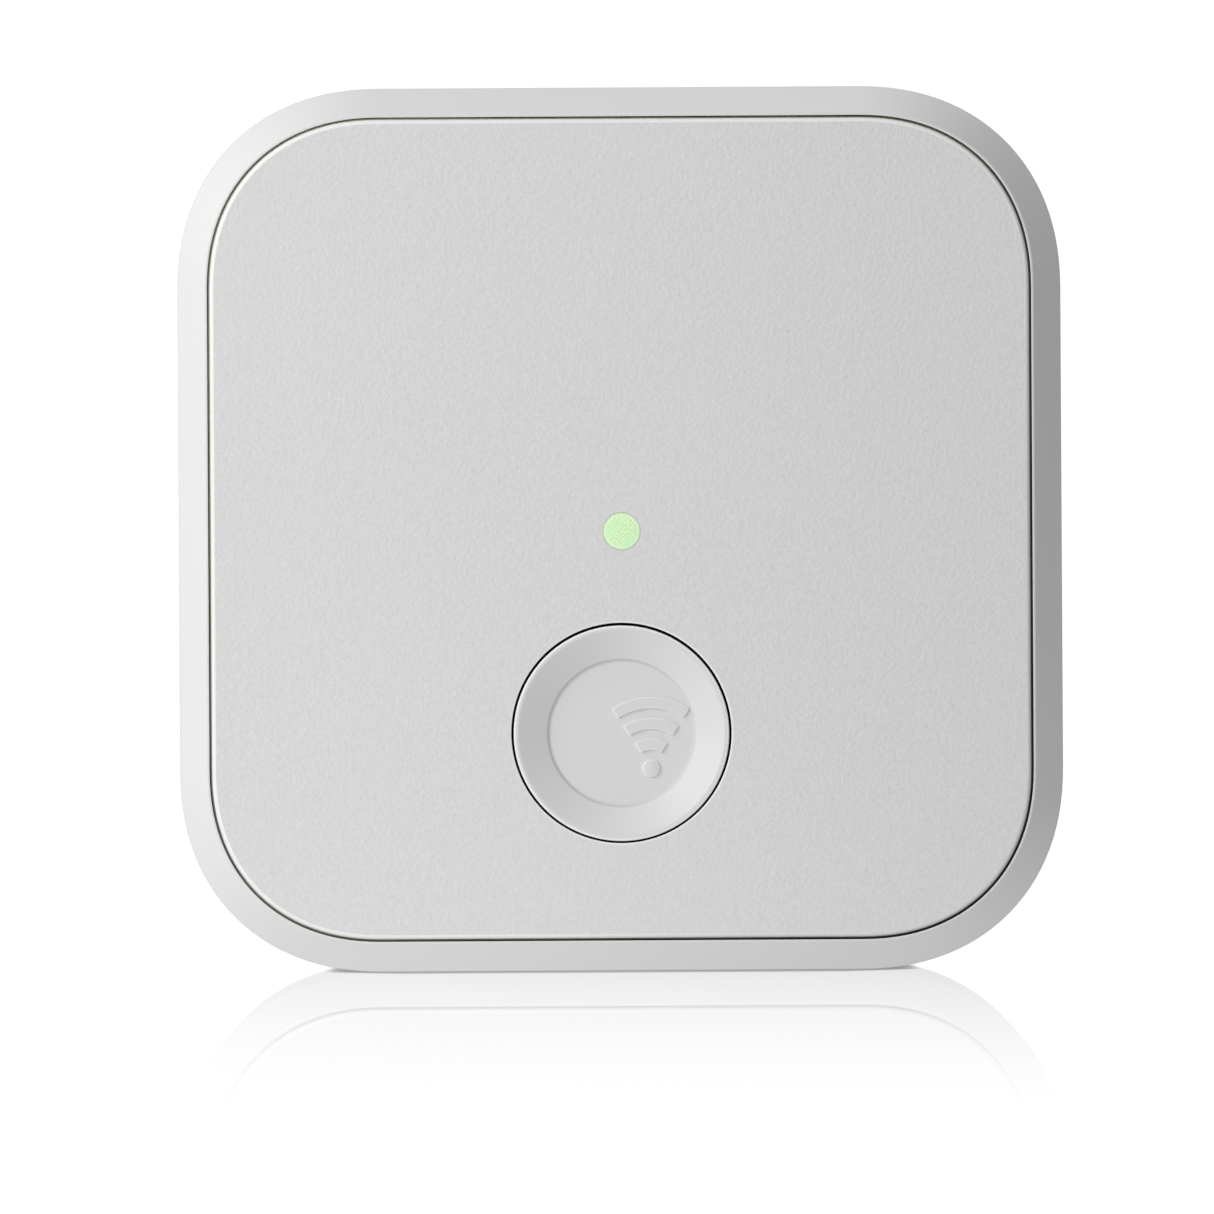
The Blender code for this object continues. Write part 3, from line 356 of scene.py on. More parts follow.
def filleted(corners, steps=6):
    """A polyline of (u, v), with an arc at each corner that also gives a radius."""
    points = []
    count = len(corners)
    for i, (u, v, *rounding) in enumerate(corners):
        if not rounding:
            points.append((u, v))
            continue
        here, radius = Vector((u, v)), rounding[0]
        back = (Vector(corners[i - 1][:2]) - here).normalized()
        ahead = (Vector(corners[(i + 1) % count][:2]) - here).normalized()
        half_angle = math.acos(max(-1.0, min(1.0, back.dot(ahead)))) / 2
        reach = radius / math.tan(half_angle)
        centre = here + (back + ahead).normalized() * (radius / math.sin(half_angle))
        first = here + back * reach - centre
        last = here + ahead * reach - centre
        sweep = math.pi - 2 * half_angle
        for step in range(steps + 1):
            share = step / steps
            turned = first * math.sin((1 - share) * sweep) + last * math.sin(share * sweep)
            points.append(tuple(centre + turned / math.sin(sweep)))
    return points


# ---- meshes


def loop_of(bm, outline, y):
    return [bm.verts.new((x, y, z)) for x, z in outline]


def bridge(bm, first, second, material=0):
    count = len(first)
    for i in range(count):
        j = (i + 1) % count
        face = bm.faces.new((first[i], first[j], second[j], second[i]))
        face.material_index = material


def skin(sections, outline=rounded_square, ring=False, paint=None):
    """A bmesh through outline(half) at each (half, y). paint(half, y) numbers the material between two."""
    bm = bmesh.new()
    loops = [loop_of(bm, outline(half), y) for half, y in sections]
    for i in range(len(loops) - 1):
        centre = [(a + b) / 2 for a, b in zip(sections[i], sections[i + 1])]
        bridge(bm, loops[i], loops[i + 1], paint(*centre) if paint else 0)
    if ring:
        bridge(bm, loops[-1], loops[0])
    else:
        bm.faces.new(loops[0])
        bm.faces.new(loops[-1])
    return bm


def lathe(profile, x=0.0, z=0.0, steps=LATHE_STEPS, paint=None, bm=None):
    """Turns (radius, y) points about the line through (x, z) along Y, painted as by skin."""
    bm = bm or bmesh.new()
    loops = []
    for radius, y in profile:
        if radius < 1e-7:
            loops.append([bm.verts.new((x, y, z))])
            continue
        angles = [2 * math.pi * i / steps for i in range(steps)]
        loops.append([bm.verts.new((x + radius * math.cos(a), y, z + radius * math.sin(a))) for a in angles])
    for k in range(len(loops) - 1):
        first, second = loops[k], loops[k + 1]
        centre = [(a + b) / 2 for a, b in zip(profile[k], profile[k + 1])]
        for i in range(steps):
            j = (i + 1) % steps
            near = [first[i % len(first)], first[j % len(first)]]
            far = [second[j % len(second)], second[i % len(second)]]
            face = bm.faces.new(list(dict.fromkeys(near + far)))
            face.material_index = paint(*centre) if paint else 0
    return bm


def rod(bm, radius, ends, at=(0.0, 0.0), steps=LATHE_STEPS):
    """A plain cylinder along Y, from ends[0] to ends[1], about the point at = (x, z)."""
    return lathe([(0, ends[0]), (radius, ends[0]), (radius, ends[1]), (0, ends[1])], *at, steps, bm=bm)


def prism(outlines, back, front):
    """Flat outlines of (x, z), each extruded along Y."""
    bm = bmesh.new()
    for outline in outlines:
        rear, fore = loop_of(bm, outline, back), loop_of(bm, outline, front)
        bridge(bm, rear, fore)
        bm.faces.new(rear)
        bm.faces.new(fore)
    return bm


def plank(bm, place, outline, start, end, material=0):
    """An outline of (out, y) drawn out along local Z from start to end, then put in place."""
    ends = [[bm.verts.new(place @ Vector((out, y, z))) for out, y in outline] for z in (start, end)]
    bridge(bm, *ends, material)
    for side in ends:
        bm.faces.new(side).material_index = material


def block(bm, low, high):
    """A box added to bm."""
    size = [h - l for l, h in zip(low, high)]
    centre = [(h + l) / 2 for l, h in zip(low, high)]
    bmesh.ops.create_cube(bm, size=1.0, matrix=Matrix.Translation(centre) @ Matrix.Diagonal((*size, 1.0)))


def crossed(x, z, ends, arm, width):
    """Cutters for two crossed slots about (x, z)."""
    slots = []
    for wide, tall in ((arm, width), (width, arm)):
        slots.append(bmesh.new())
        block(slots[-1], (x - wide, ends[0], z - tall), (x + wide, ends[1], z + tall))
    return slots


def link(thing):
    bpy.context.scene.collection.objects.link(thing)
    return thing


def as_object(name, bm, materials=()):
    bmesh.ops.recalc_face_normals(bm, faces=bm.faces)
    mesh = bpy.data.meshes.new(name)
    bm.to_mesh(mesh)
    bm.free()
    for material in materials:
        mesh.materials.append(material)
    return link(bpy.data.objects.new(name, mesh))


def bevelled(thing, width, segments=3, angle=35):
    """Adds a modifier that rounds the edges sharper than angle."""
    bevel = thing.modifiers.new("bevel", "BEVEL")
    bevel.width = width
    bevel.segments = segments
    bevel.limit_method = "ANGLE"
    bevel.angle_limit = math.radians(angle)
    return thing


def apply_modifiers(thing):
    """Makes the evaluated mesh the object's own, with no modifier left on it."""
    bpy.context.view_layer.update()
    graph = bpy.context.evaluated_depsgraph_get()
    mesh = bpy.data.meshes.new_from_object(thing.evaluated_get(graph))
    thing.modifiers.clear()
    thing.data = mesh
    return thing


def rounded_block(name, low, high, rounding, segments, materials):
    bm = bmesh.new()
    block(bm, low, high)
    return apply_modifiers(bevelled(as_object(name, bm, materials), rounding, segments))


def combine(thing, add=(), cut=()):
    """Joins the helper meshes to the piece, then cuts the others out of it. No helper stays in the scene."""
    helpers = []
    for number, helper in enumerate([*add, *cut]):
        if not isinstance(helper, bpy.types.Object):
            helper = as_object("helper", helper, thing.data.materials)
        modifier = thing.modifiers.new("boolean", "BOOLEAN")
        modifier.operation = "UNION" if number < len(add) else "DIFFERENCE"
        modifier.solver = "EXACT"
        modifier.object = helper
        helpers.append(helper)
    apply_modifiers(thing)
    for helper in helpers:
        bpy.data.objects.remove(helper)


def smooth(thing, angle=32, weighted=True):
    """Smooth shading but for edges sharper than angle, with flat faces kept flat."""
    thing.data.shade_smooth()
    thing.data.set_sharp_from_angle(angle=math.radians(angle))
    if weighted:
        normals = thing.modifiers.new("flat_faces", "WEIGHTED_NORMAL")
        normals.keep_sharp = True
        normals.weight = 80


def stand_for(thing, node, body="housing", angle=32):
    """Smooths the finished piece and hands it to its CAD body, in place of a CAD node."""
    smooth(thing, angle)
    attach(thing, body)
    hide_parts(node)


def bend_for(thing, node):
    """Smooths a springy piece without weighting its normals, hides its CAD node and bakes its place into the
    mesh. It is handed to no body.
    """
    smooth(thing, weighted=False)
    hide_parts(node)
    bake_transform(thing)


def four_corners(offset):
    return [(x, z) for x in (-offset, offset) for z in (-offset, offset)]


# ---- case

PILLAR_OFFSET = middle("rear_screw_4").x
LOGIC_SCREW_OFFSET = middle("logic_screw_4").x
MAINS_SCREW_OFFSET = middle("mains_screw_2").x
LOGIC_BOARD_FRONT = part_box("logic_board")[0].y
MAINS_BOARD_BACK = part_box("mains_board")[1].y
LEDGE_FRONT = COVER_BACK + 0.1 * MM
LEDGE_BACK = LEDGE_FRONT + LEDGE_THICKNESS
PILLAR_HOLE_FRONT = -11.0 * MM
LOGIC_HOLE_ENDS = -22.0 * MM, -25.4 * MM
MAINS_HOLE_ENDS = -2.6 * MM, -6.0 * MM
STAKE_TIP = -24.6 * MM  # of the two stakes that hold the button spring's pad
STAKE_SHOULDER = -25.2 * MM
STAKES = [(side * 3.6 * MM, BUTTON_Z + 9.8 * MM) for side in (-1, 1)]
CLAMP_STAKE_TIP = -4.7 * MM


def make_shell():
    """The sleeve: a flat-sloped bezel that bends into straight walls, with the ledge and pillars inside."""
    lip_half = HALF - BEZEL_INSET
    inner_half = HALF - WALL
    ledge_half = OPENING_HALF - LEDGE_WIDTH
    bezel_back = FRONT + BEZEL_DEPTH
    satin = 0.07  # how far along the slope its satin face begins, from behind
    corners = [
        (HALF, 0.0, REAR_ROUND), (HALF, bezel_back, BEZEL_BEND),
        (HALF - BEZEL_INSET * satin, bezel_back - BEZEL_DEPTH * satin),
        (lip_half, FRONT, LIP_ROUND), (OPENING_HALF, FRONT, LIP_EDGE),
        (OPENING_HALF, LEDGE_FRONT), (ledge_half, LEDGE_FRONT),
        (ledge_half, LEDGE_BACK), (ledge_half + 1.0 * MM, LEDGE_BACK),
        (inner_half, LEDGE_BACK + 2.4 * MM), (inner_half, 0.0),
    ]

    # The opening's wall gets the groove's painted shade; the bezel's bend and the walls behind it get the
    # darker copy of the case white, painted shade.
    def paint(half, y):
        if half < OPENING_HALF + 1e-6:
            return 1 if y < LEDGE_FRONT + 1e-6 else 0
        if half < inner_half + 1e-6 and y > bezel_back:
            return 0
        return 2 if y < bezel_back - 0.30 * MM else 3

    sleeve = skin(filleted(corners), ring=True, paint=paint)
    shell = as_object("case_shell", sleeve, (CASE, GAP, BEZEL, SIDE))
    pillar_back = REAR_PAD_FRONT - 0.1 * MM
    rib_ends = FRONT + BEZEL_DEPTH + 0.6 * MM, pillar_back - 0.5 * MM
    reach, half_rib = 4.6 * MM, 0.6 * MM
    ribs_x, ribs_z, pillars, holes = (bmesh.new() for _ in range(4))
    for x, z in four_corners(PILLAR_OFFSET):
        start, end = sorted((x, x + math.copysign(reach, x)))
        block(ribs_x, (start, rib_ends[0], z - half_rib), (end, rib_ends[1], z + half_rib))
        start, end = sorted((z, z + math.copysign(reach, z)))
        block(ribs_z, (x - half_rib, rib_ends[0], start), (x + half_rib, rib_ends[1], end))
        rod(pillars, 2.5 * MM, (pillar_back, LEDGE_BACK - 0.4 * MM), (x, z), 48)
        rod(holes, 1.1 * MM, (pillar_back + MM, PILLAR_HOLE_FRONT), (x, z), 32)
    combine(shell, [ribs_x, ribs_z, pillars], [holes])
    stand_for(shell, "outer_shell")


def quarter_turn(steps=6):
    """(sine, cosine) at even steps over a right angle."""
    angles = [math.pi / 2 * step / steps for step in range(steps + 1)]
    return [(math.sin(angle), math.cos(angle)) for angle in angles]


def flared_hole(radius, top, bottom, flare, outward, x=0.0, z=0.0, steps=LATHE_STEPS, paint=None):
    """A cutter for a round hole whose mouth at y = top is rounded, and opens to the side outward."""
    above = top + outward * MM
    drop = outward * 0.6 * flare
    rounding = [(radius + flare * (1 - sine), top - drop * (1 - cosine)) for sine, cosine in quarter_turn()]
    profile = [(0, above), (radius + flare, above), *rounding, (radius, bottom), (0, bottom)]
    return lathe(profile, x, z, steps, paint)


def make_front_plate():
    """The grained front plate, with rounded edges, bosses, spring stakes and snap hooks behind."""
    step_y = FRONT + COVER_STEP_DEPTH
    corners = [
        (OPENING_HALF - COVER_STEP_GAP, COVER_BACK), (OPENING_HALF - COVER_STEP_GAP, step_y),
        (COVER_HALF, step_y), (COVER_HALF, FRONT, COVER_ROUND),
        (0.0, FRONT),
    ]
    sections = filleted(corners, steps=10)[:-1]

    # The plate's rounded front edge and the mouth of the button hole get the painted highlight; the plate's
    # sides and the hole's walls get painted shade.
    def paint_hole(_, y):
        return 2 if y < FRONT + 0.5 * BUTTON_EDGE else 3

    def paint(half, y):
        if y < FRONT + 0.5 * COVER_ROUND and half > COVER_HALF - COVER_ROUND:
            return 2
        return 0 if half < COVER_HALF - COVER_ROUND else 1

    plate = as_object("front_plate", skin(sections, paint=paint), (CASE, GAP, EDGE_HIGHLIGHT, DEEP))
    inside = COVER_BACK - 0.5 * MM
    bosses, pilots = bmesh.new(), bmesh.new()
    for corner in four_corners(LOGIC_SCREW_OFFSET):
        rod(bosses, 2.0 * MM, (LOGIC_BOARD_FRONT - 0.05 * MM, inside), corner, 48)
        rod(pilots, 0.85 * MM, LOGIC_HOLE_ENDS, corner, 24)
    thin, thick = 0.55 * MM, 1.1 * MM
    stake = [(0, STAKE_TIP), (thin, STAKE_TIP), (thin, STAKE_SHOULDER)]
    stake += [(thick, STAKE_SHOULDER), (thick, inside), (0, inside)]
    for x, z in STAKES:
        lathe(stake, x, z, 32, bm=bosses)
    back, edge, hole = COVER_BACK + MM, BUTTON_EDGE, BUTTON_RADIUS + BUTTON_GAP
    button_hole = flared_hole(hole, FRONT, back, edge, -1, 0.0, BUTTON_Z, paint=paint_hole)
    light_hole = flared_hole(LIGHT_RADIUS + 0.003 * MM, FRONT, back, 0.01 * MM, -1, LIGHT_X, LIGHT_Z, 96)
    combine(plate, [bosses, snap_hooks(inside)], [pilots, button_hole, light_hole])
    stand_for(plate, "front_cover")


def snap_hooks(root):
    """Two hooks on each side of the plate: a finger with a barb that catches behind the shell's ledge."""
    face = OPENING_HALF - LEDGE_WIDTH - 0.2 * MM
    finger, barb = 0.9 * MM, 0.5 * MM
    catch, tip = LEDGE_BACK + 0.1 * MM, LEDGE_BACK + 0.9 * MM
    outline = [
        (face - finger, root), (face, root),
        (face, catch), (face + barb, catch),
        (face + barb, catch + 0.3 * MM), (face, tip),
        (face - finger, tip),
    ]
    bm = bmesh.new()
    for turn in range(4):
        around = Matrix.Rotation(turn * math.pi / 2, 4, "Y")
        for along in (-9 * MM, 9 * MM):
            plank(bm, around, outline, along - 2.5 * MM, along + 2.5 * MM)
    return bm


# ---- button and light


def make_button():
    """The dished cap: rounded rim, flat cone, a step down to the floor, and a stem behind."""
    web = FRONT + 2.3 * MM
    floor = FRONT + DISH_DEPTH + DISH_STEP
    flange = BUTTON_HIGH.x
    flange_front = COVER_BACK + 0.1 * MM
    flange_back = FRONT + 2.8 * MM
    corners = [
        (0.0, floor), (DISH_RADIUS - 0.10 * MM, floor, 0.28 * MM),
        (DISH_RADIUS, FRONT + DISH_DEPTH, 0.05 * MM), (DISH_RIM, FRONT, 0.4 * MM),
        (BUTTON_RADIUS - 0.16 * MM, FRONT), (BUTTON_RADIUS, FRONT, BUTTON_EDGE),
        (BUTTON_RADIUS, flange_front), (flange, flange_front, 0.05 * MM),
        (flange, flange_back, 0.05 * MM), (6.2 * MM, flange_back),
        (5.8 * MM, web, 0.2 * MM), (1.5 * MM, web, 0.2 * MM),
        (1.5 * MM, BUTTON_HIGH.y, 0.1 * MM), (0.0, BUTTON_HIGH.y),
    ]

    # The rim's rounding and a thin flat ring just inside it get the painted highlight; the walls behind get
    # painted shade.
    def paint(radius, y):
        if radius < BUTTON_RADIUS - 0.16 * MM:
            return 0
        return 1 if y < FRONT + 0.6 * BUTTON_EDGE else 2

    cap = as_object("press_button", lathe(filleted(corners), z=CAP_Z, paint=paint), (BUTTON, EDGE_HIGHLIGHT, DEEP))
    combine(cap, add=[make_relief(floor)])
    stand_for(cap, "button_cap", "button")


def make_relief(floor):
    """A raised sign on the dish's floor, right of its middle: a dot with three arcs over it."""
    dot = (2.0 * MM, BUTTON_Z - 2.4 * MM)
    spread, stroke = 33, 0.75 * MM
    outlines = [arc_points(dot, 0.58 * MM, 0, 360, 40)[:-1]]
    for radius in (1.25 * MM, 2.65 * MM, 4.05 * MM):
        inner = arc_points(dot, radius, 90 - spread, 90 + spread, 28)
        outer = arc_points(dot, radius + stroke, 90 + spread, 90 - spread, 28)
        outlines.append(inner + outer)
    raised = prism(outlines, floor + 0.15 * MM, floor - RELIEF_HEIGHT)
    relief = as_object("relief", raised, (BUTTON, EDGE_HIGHLIGHT, DEEP))
    apply_modifiers(bevelled(relief, 0.13 * MM, 2, 50))
    # Painted highlight on the sign's bevelled sides; its top stays the button's colour.
    for face in relief.data.polygons:
        face.material_index = 1 if abs(face.normal.y) < 0.97 else 0
    return relief


def make_light_pipe():
    """The clear pipe, flush with the plate, with its flange behind and a taper down to the lamp."""
    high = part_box("light_pipe")[1]
    flange_front = COVER_BACK + 0.05 * MM
    corners = [
        (0.0, FRONT), (LIGHT_RADIUS, FRONT, 0.02 * MM),
        (LIGHT_RADIUS, flange_front), (high.x, flange_front, 0.05 * MM),
        (high.x, flange_front + 0.6 * MM, 0.05 * MM), (1.1 * MM, flange_front + 0.6 * MM, 0.1 * MM),
        (0.9 * MM, high.y, 0.05 * MM), (0.0, high.y),
    ]
    pipe = as_object("status_light", lathe(filleted(corners), LIGHT_X, LIGHT_Z, 96), (LIT,))
    stand_for(pipe, "light_pipe")


# ---- rear and plug


def rounded_rectangle(width, height, radius, x=0.0, z=0.0):
    """Points (x, z) round a rectangle with arcs at its corners."""
    points = []
    for side, rise, start in ((1, 1, 0), (-1, 1, 90), (-1, -1, 180), (1, -1, 270)):
        centre = (x + side * (width / 2 - radius), z + rise * (height / 2 - radius))
        points += arc_points(centre, radius, start, start + 90, 8)
    return points


def flared_slot(width, height, corner, place, bottom, flare):
    """A cutter for a rounded slot at place = (x, z), from the wall face to bottom, with a rounded mouth."""
    sections = [(flare, MM)]
    sections += [(flare * (1 - sine), -flare * (1 - cosine)) for sine, cosine in quarter_turn()]
    sections.append((0.0, bottom))

    def outline(grow):
        return rounded_rectangle(width + 2 * grow, height + 2 * grow, corner + grow, *place)

    return skin(sections, outline)


def make_rear_panel():
    """The plate against the wall: blade slots, counterbored screw holes, standoffs and the label's recess."""
    back_round = 0.2 * MM
    corners = [(0.0, 0.0), (REAR_HALF, 0.0, back_round), (REAR_HALF, -REAR_THICKNESS)]
    panel = as_object("rear_panel", skin(filleted(corners)[1:]), (CASE,))
    inside = -REAR_THICKNESS + 0.5 * MM
    added, pilots = bmesh.new(), bmesh.new()
    for corner in four_corners(PILLAR_OFFSET):
        rod(added, 2.9 * MM, (inside, REAR_PAD_FRONT), corner, 48)
    for side in (-1, 1):
        post = (side * MAINS_SCREW_OFFSET, 0.0)
        rod(added, 2.4 * MM, (inside, MAINS_BOARD_BACK + 0.05 * MM), post, 48)
        rod(added, 0.95 * MM, (inside, CLAMP_STAKE_TIP), (0.0, side * 4.4 * MM), 32)
        rod(pilots, 1.05 * MM, MAINS_HOLE_ENDS, post, 25)
    cuts = [pilots]
    for corner in four_corners(PILLAR_OFFSET):
        cuts.append(flared_hole(2.1 * MM, 0.0, -1.6 * MM, 0.15 * MM, 1, *corner, 64))
        cuts.append(rod(None, 1.25 * MM, (0.5 * MM, -5 * MM), corner, 40))
    room = 0.3 * MM
    for node in ("plug_blade_left", "plug_blade_right"):
        place = (middle(node).x, 0.0)
        cuts.append(flared_slot(BLADE_THICKNESS + room, BLADE_WIDTH + room, room, place, -4 * MM, 0.2 * MM))
    width, height = 2 * LABEL_HIGH.x + 0.4 * MM, LABEL_HIGH.z - LABEL_LOW.z + 0.4 * MM
    place = (0.0, middle("rating_label").z)
    cuts.append(flared_slot(width, height, 0.9 * MM, place, -0.3 * MM, 0.1 * MM))
    combine(panel, [added], cuts)
    stand_for(panel, "rear_cover")


def make_blades():
    """The plug's blades: punched sheet with eased edges, a chamfered tip and a countersunk hole."""
    for node in ("plug_blade_left", "plug_blade_right"):
        low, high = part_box(node)
        half, tip = BLADE_WIDTH / 2, high.y
        chamfer, shoulder, tail = 1.3 * MM, high.z, 1.5 * MM
        shoulder_back, shoulder_front = -REAR_THICKNESS - 0.05 * MM, -3.4 * MM
        upper = [
            (tip, half - chamfer, 0.6 * MM), (tip - chamfer, half, 0.6 * MM),
            (shoulder_back, half), (shoulder_back, shoulder, 0.2 * MM),
            (shoulder_front, shoulder, 0.2 * MM), (shoulder_front, tail),
            (low.y, tail, 0.2 * MM),
        ]
        outline = filleted(upper + [(y, -z, *rounding) for y, z, *rounding in reversed(upper)])
        bm = bmesh.new()
        sides = []
        for edge in (low.x, high.x):
            sides.append([bm.verts.new((edge, y, z)) for y, z in outline])
            bm.faces.new(sides[-1])
        bridge(bm, *sides)
        blade = as_object(node.replace("plug_blade", "blade"), bm, (NICKEL,))
        hole_y, radius, sink = tip - 4.1 * MM, 1.6 * MM, 0.2 * MM
        mouth = radius + 2 * sink
        bore = [(0, high.x + sink), (mouth, high.x + sink), (radius, high.x - sink)]
        bore += [(radius, low.x + sink), (mouth, low.x - sink), (0, low.x - sink)]
        cutter = lathe(bore, steps=64)
        turn = Matrix.Translation((0.0, hole_y, 0.0)) @ Matrix.Rotation(-math.pi / 2, 4, "Z")
        bmesh.ops.transform(cutter, matrix=turn, verts=cutter.verts)
        apply_modifiers(bevelled(blade, 0.18 * MM, 3))
        combine(blade, cut=[cutter])
        stand_for(blade, node)


# a screw head's height and its shank's radius, at each place
SCREWS = {"rear": (1.2 * MM, 1.05 * MM), "logic": (1.0 * MM, 0.8 * MM), "mains": (1.1 * MM, 1.0 * MM)}


def make_screw(node, name):
    """A pan-head screw: domed head, crossed recess and threaded shank, in the CAD screw's box."""
    low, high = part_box(node)
    x, z = (low.x + high.x) / 2, (low.z + high.z) / 2
    radius = (high.x - low.x) / 2
    place = node.split("_")[0]
    sign = -1 if place == "mains" else 1
    tip, top = (low.y, high.y)[::sign]
    head, shank = SCREWS[place]
    seat = top - sign * head
    dome = sign * 0.45 * head
    profile = [(radius * sine, top - dome * (1 - cosine)) for sine, cosine in quarter_turn(8)]
    profile += [(radius, seat), (shank, seat)]
    pitch = 0.8 * MM
    turns = int((abs(seat - tip) - 1.2 * MM) / pitch)
    root = shank * 0.78
    for number in range(turns):
        start = seat - sign * (0.3 * MM + number * pitch)
        profile += [(root, start), (shank, start - sign * 0.45 * pitch), (root, start - sign * 0.9 * pitch)]
    profile += [(root, tip + sign * 0.7 * MM), (0.0, tip)]
    screw = as_object(name, lathe(profile, x, z, 48), (ZINC,))
    ends, taper = sorted((top + sign * 0.5 * MM, top - sign * (head * 0.6))), 0.75
    slots = crossed(x, z, ends, radius * 0.62, radius * 0.15)
    for vert in [vert for slot in slots for vert in slot.verts]:
        if (vert.co.y - top) * sign < 0:
            vert.co.x = x + (vert.co.x - x) * taper
            vert.co.z = z + (vert.co.z - z) * taper
    combine(screw, cut=slots)
    stand_for(screw, node, angle=40)


def make_label():
    """The blank rating label: a printed border on silver film."""
    nodes, place = new_material("label_film")
    centre = middle("rating_label")
    half_width, half_height = LABEL_HIGH.x, (LABEL_HIGH.z - LABEL_LOW.z) / 2
    inset = 0.9 * MM
    across = nodes.minus(half_width - inset, nodes.math("ABSOLUTE", nodes.axis(place, "X")))
    up = nodes.minus(half_height - inset, nodes.off(nodes.axis(place, "Z"), centre.z))
    from_edge = nodes.math("ABSOLUTE", nodes.math("MINIMUM", across, up))
    line = nodes.below(from_edge, 0.08 * MM)
    fibre = nodes.noise(place, 1800.0, 3.0)
    film = nodes.mix(fibre, (0.60, 0.60, 0.60), (0.70, 0.70, 0.69))
    paper = nodes.surface(
        Base_Color=nodes.mix(line, film, (0.16, 0.16, 0.17)),
        Roughness=0.45,
        Normal=nodes.bump(fibre, 0.3, 0.01 * MM),
    )
    outline = rounded_rectangle(half_width * 2, half_height * 2, 0.8 * MM, 0.0, centre.z)
    label = as_object("blank_label", prism([outline], LABEL_LOW.y, LABEL_HIGH.y), (paper,))
    stand_for(bevelled(label, 0.03 * MM, 1), "rating_label")


# ---- inside


def board_resist(name, mask, track):
    """Solder resist over copper tracks that run both ways, with tinned vias. Cut edges show bare fibre."""
    nodes, place = new_material(name)
    pitch, length = 0.85 * MM, 6.5 * MM
    copper = 0.0
    for along, across in (("X", "Z"), ("Z", "X")):
        lane = nodes.math("DIVIDE", nodes.axis(place, across), pitch)
        row = nodes.math("FLOOR", lane)
        stretch = nodes.math("DIVIDE", nodes.axis(place, along), length)
        stretch = nodes.math("FLOOR", nodes.math("ADD", stretch, nodes.math("SINE", row)))
        cell = nodes.add("CombineXYZ", {0: row, 1: stretch, 2: float(ord(along))})
        picked = nodes.add("TexWhiteNoise", {"Vector": cell.outputs[0]}).outputs["Value"]
        on_track = nodes.below(nodes.off(nodes.math("FRACT", lane), 0.5), 0.2)
        strip = nodes.times(on_track, nodes.math("GREATER_THAN", picked, 0.45))
        copper = nodes.math("MAXIMUM", strip, copper)
    cells = nodes.add("TexVoronoi", {"Vector": place, "Scale": 260.0, "Randomness": 0.75})
    via = nodes.below(cells.outputs["Distance"], 0.07)
    weave = nodes.noise(place, 3500.0)
    normal = nodes.add("NewGeometry").outputs["Normal"]
    edge = nodes.below(nodes.math("ABSOLUTE", nodes.axis(normal, "Y")), 0.5)
    face = nodes.mix(via, nodes.mix(copper, mask, track), (0.62, 0.60, 0.54))
    return nodes.surface(
        Base_Color=nodes.mix(edge, face, nodes.mix(weave, (0.42, 0.40, 0.20), (0.60, 0.56, 0.34))),
        Roughness=nodes.ramp(weave, 0.28, 0.42),
        Normal=nodes.bump(copper, 0.6, 0.03 * MM),
    )


def banded(name, base, band, axis, centre, pitch, width, roughness=0.4, edges=None):
    """Plastic with bands across an axis: tape laps, resistor rings or turns of wire. Bands lie within edges
    of the centre, where edges is given."""
    nodes, place = new_material(name)
    along = nodes.minus(nodes.axis(place, axis), centre)
    lane = nodes.math("FRACT", nodes.math("DIVIDE", along, pitch))
    line = nodes.below(lane, width)
    if edges:
        line = nodes.times(line, nodes.below(nodes.math("ABSOLUTE", along), edges))
    cloud = nodes.noise(place, 600.0, 3.0)
    return nodes.surface(
        Base_Color=nodes.mix(line, nodes.mix(cloud, base, shaded(base, 0.8)), band),
        Roughness=nodes.ramp(cloud, roughness - 0.05, roughness + 0.08),
        Normal=nodes.bump(nodes.math("SINE", nodes.times(lane, 2 * math.pi)), 0.3, 0.03 * MM),
    )


EPOXY = plastic("chip_epoxy", (0.035, 0.035, 0.038), 0.55, 0.12 * MM, 0.006 * MM, tint=0.10)
PHENOLIC = plastic("phenolic", (0.030, 0.028, 0.027), 0.42, 0.20 * MM, 0.004 * MM, tint=0.06)
FERRITE = plastic("sintered_ferrite", (0.075, 0.075, 0.080), 0.60, 0.10 * MM, 0.010 * MM, tint=0.12)
HOOD = plastic("hood_plastic", (0.66, 0.66, 0.63), 0.48, 0.35 * MM, 0.008 * MM)
DIPPED = plastic("dipped_epoxy", (0.06, 0.20, 0.48), 0.22, 1.1 * MM, 0.040 * MM)
FIRED = plastic("fired_ceramic", (0.80, 0.77, 0.70), 0.50, 0.08 * MM, 0.003 * MM)
SLEEVE = plastic("can_sleeve", (0.030, 0.045, 0.085), 0.30, 0.60 * MM, 0.010 * MM, tint=0.05)
STRIPE = plastic("sleeve_stripe", (0.55, 0.57, 0.60), 0.32, 0.60 * MM, 0.010 * MM, tint=0.03)
PHOSPHOR = plastic("lamp_phosphor", (0.85, 0.80, 0.30), 0.30, 0.10 * MM, 0.002 * MM, tint=0.04)
TIN = metal("tinned_sheet", (0.72, 0.72, 0.70), 0.30, "X")
BRASS = metal("pin_brass", (0.78, 0.60, 0.28), 0.25, "Y")
SPRING = metal("spring_steel", (0.55, 0.55, 0.56), 0.28, "X")
ALUMINIUM = metal("can_aluminium", (0.80, 0.80, 0.81), 0.34, "X")
GREEN_BOARD = board_resist("green_resist", (0.012, 0.12, 0.045), (0.03, 0.22, 0.09))
BLUE_BOARD = board_resist("blue_resist", (0.012, 0.035, 0.14), (0.03, 0.09, 0.26))
TAPE = banded("winding_tape", (0.80, 0.58, 0.06), (0.62, 0.42, 0.03), "Z", 0.0, 1.4 * MM, 0.12, 0.28)
RESISTOR_X = middle("fusible_resistor").x
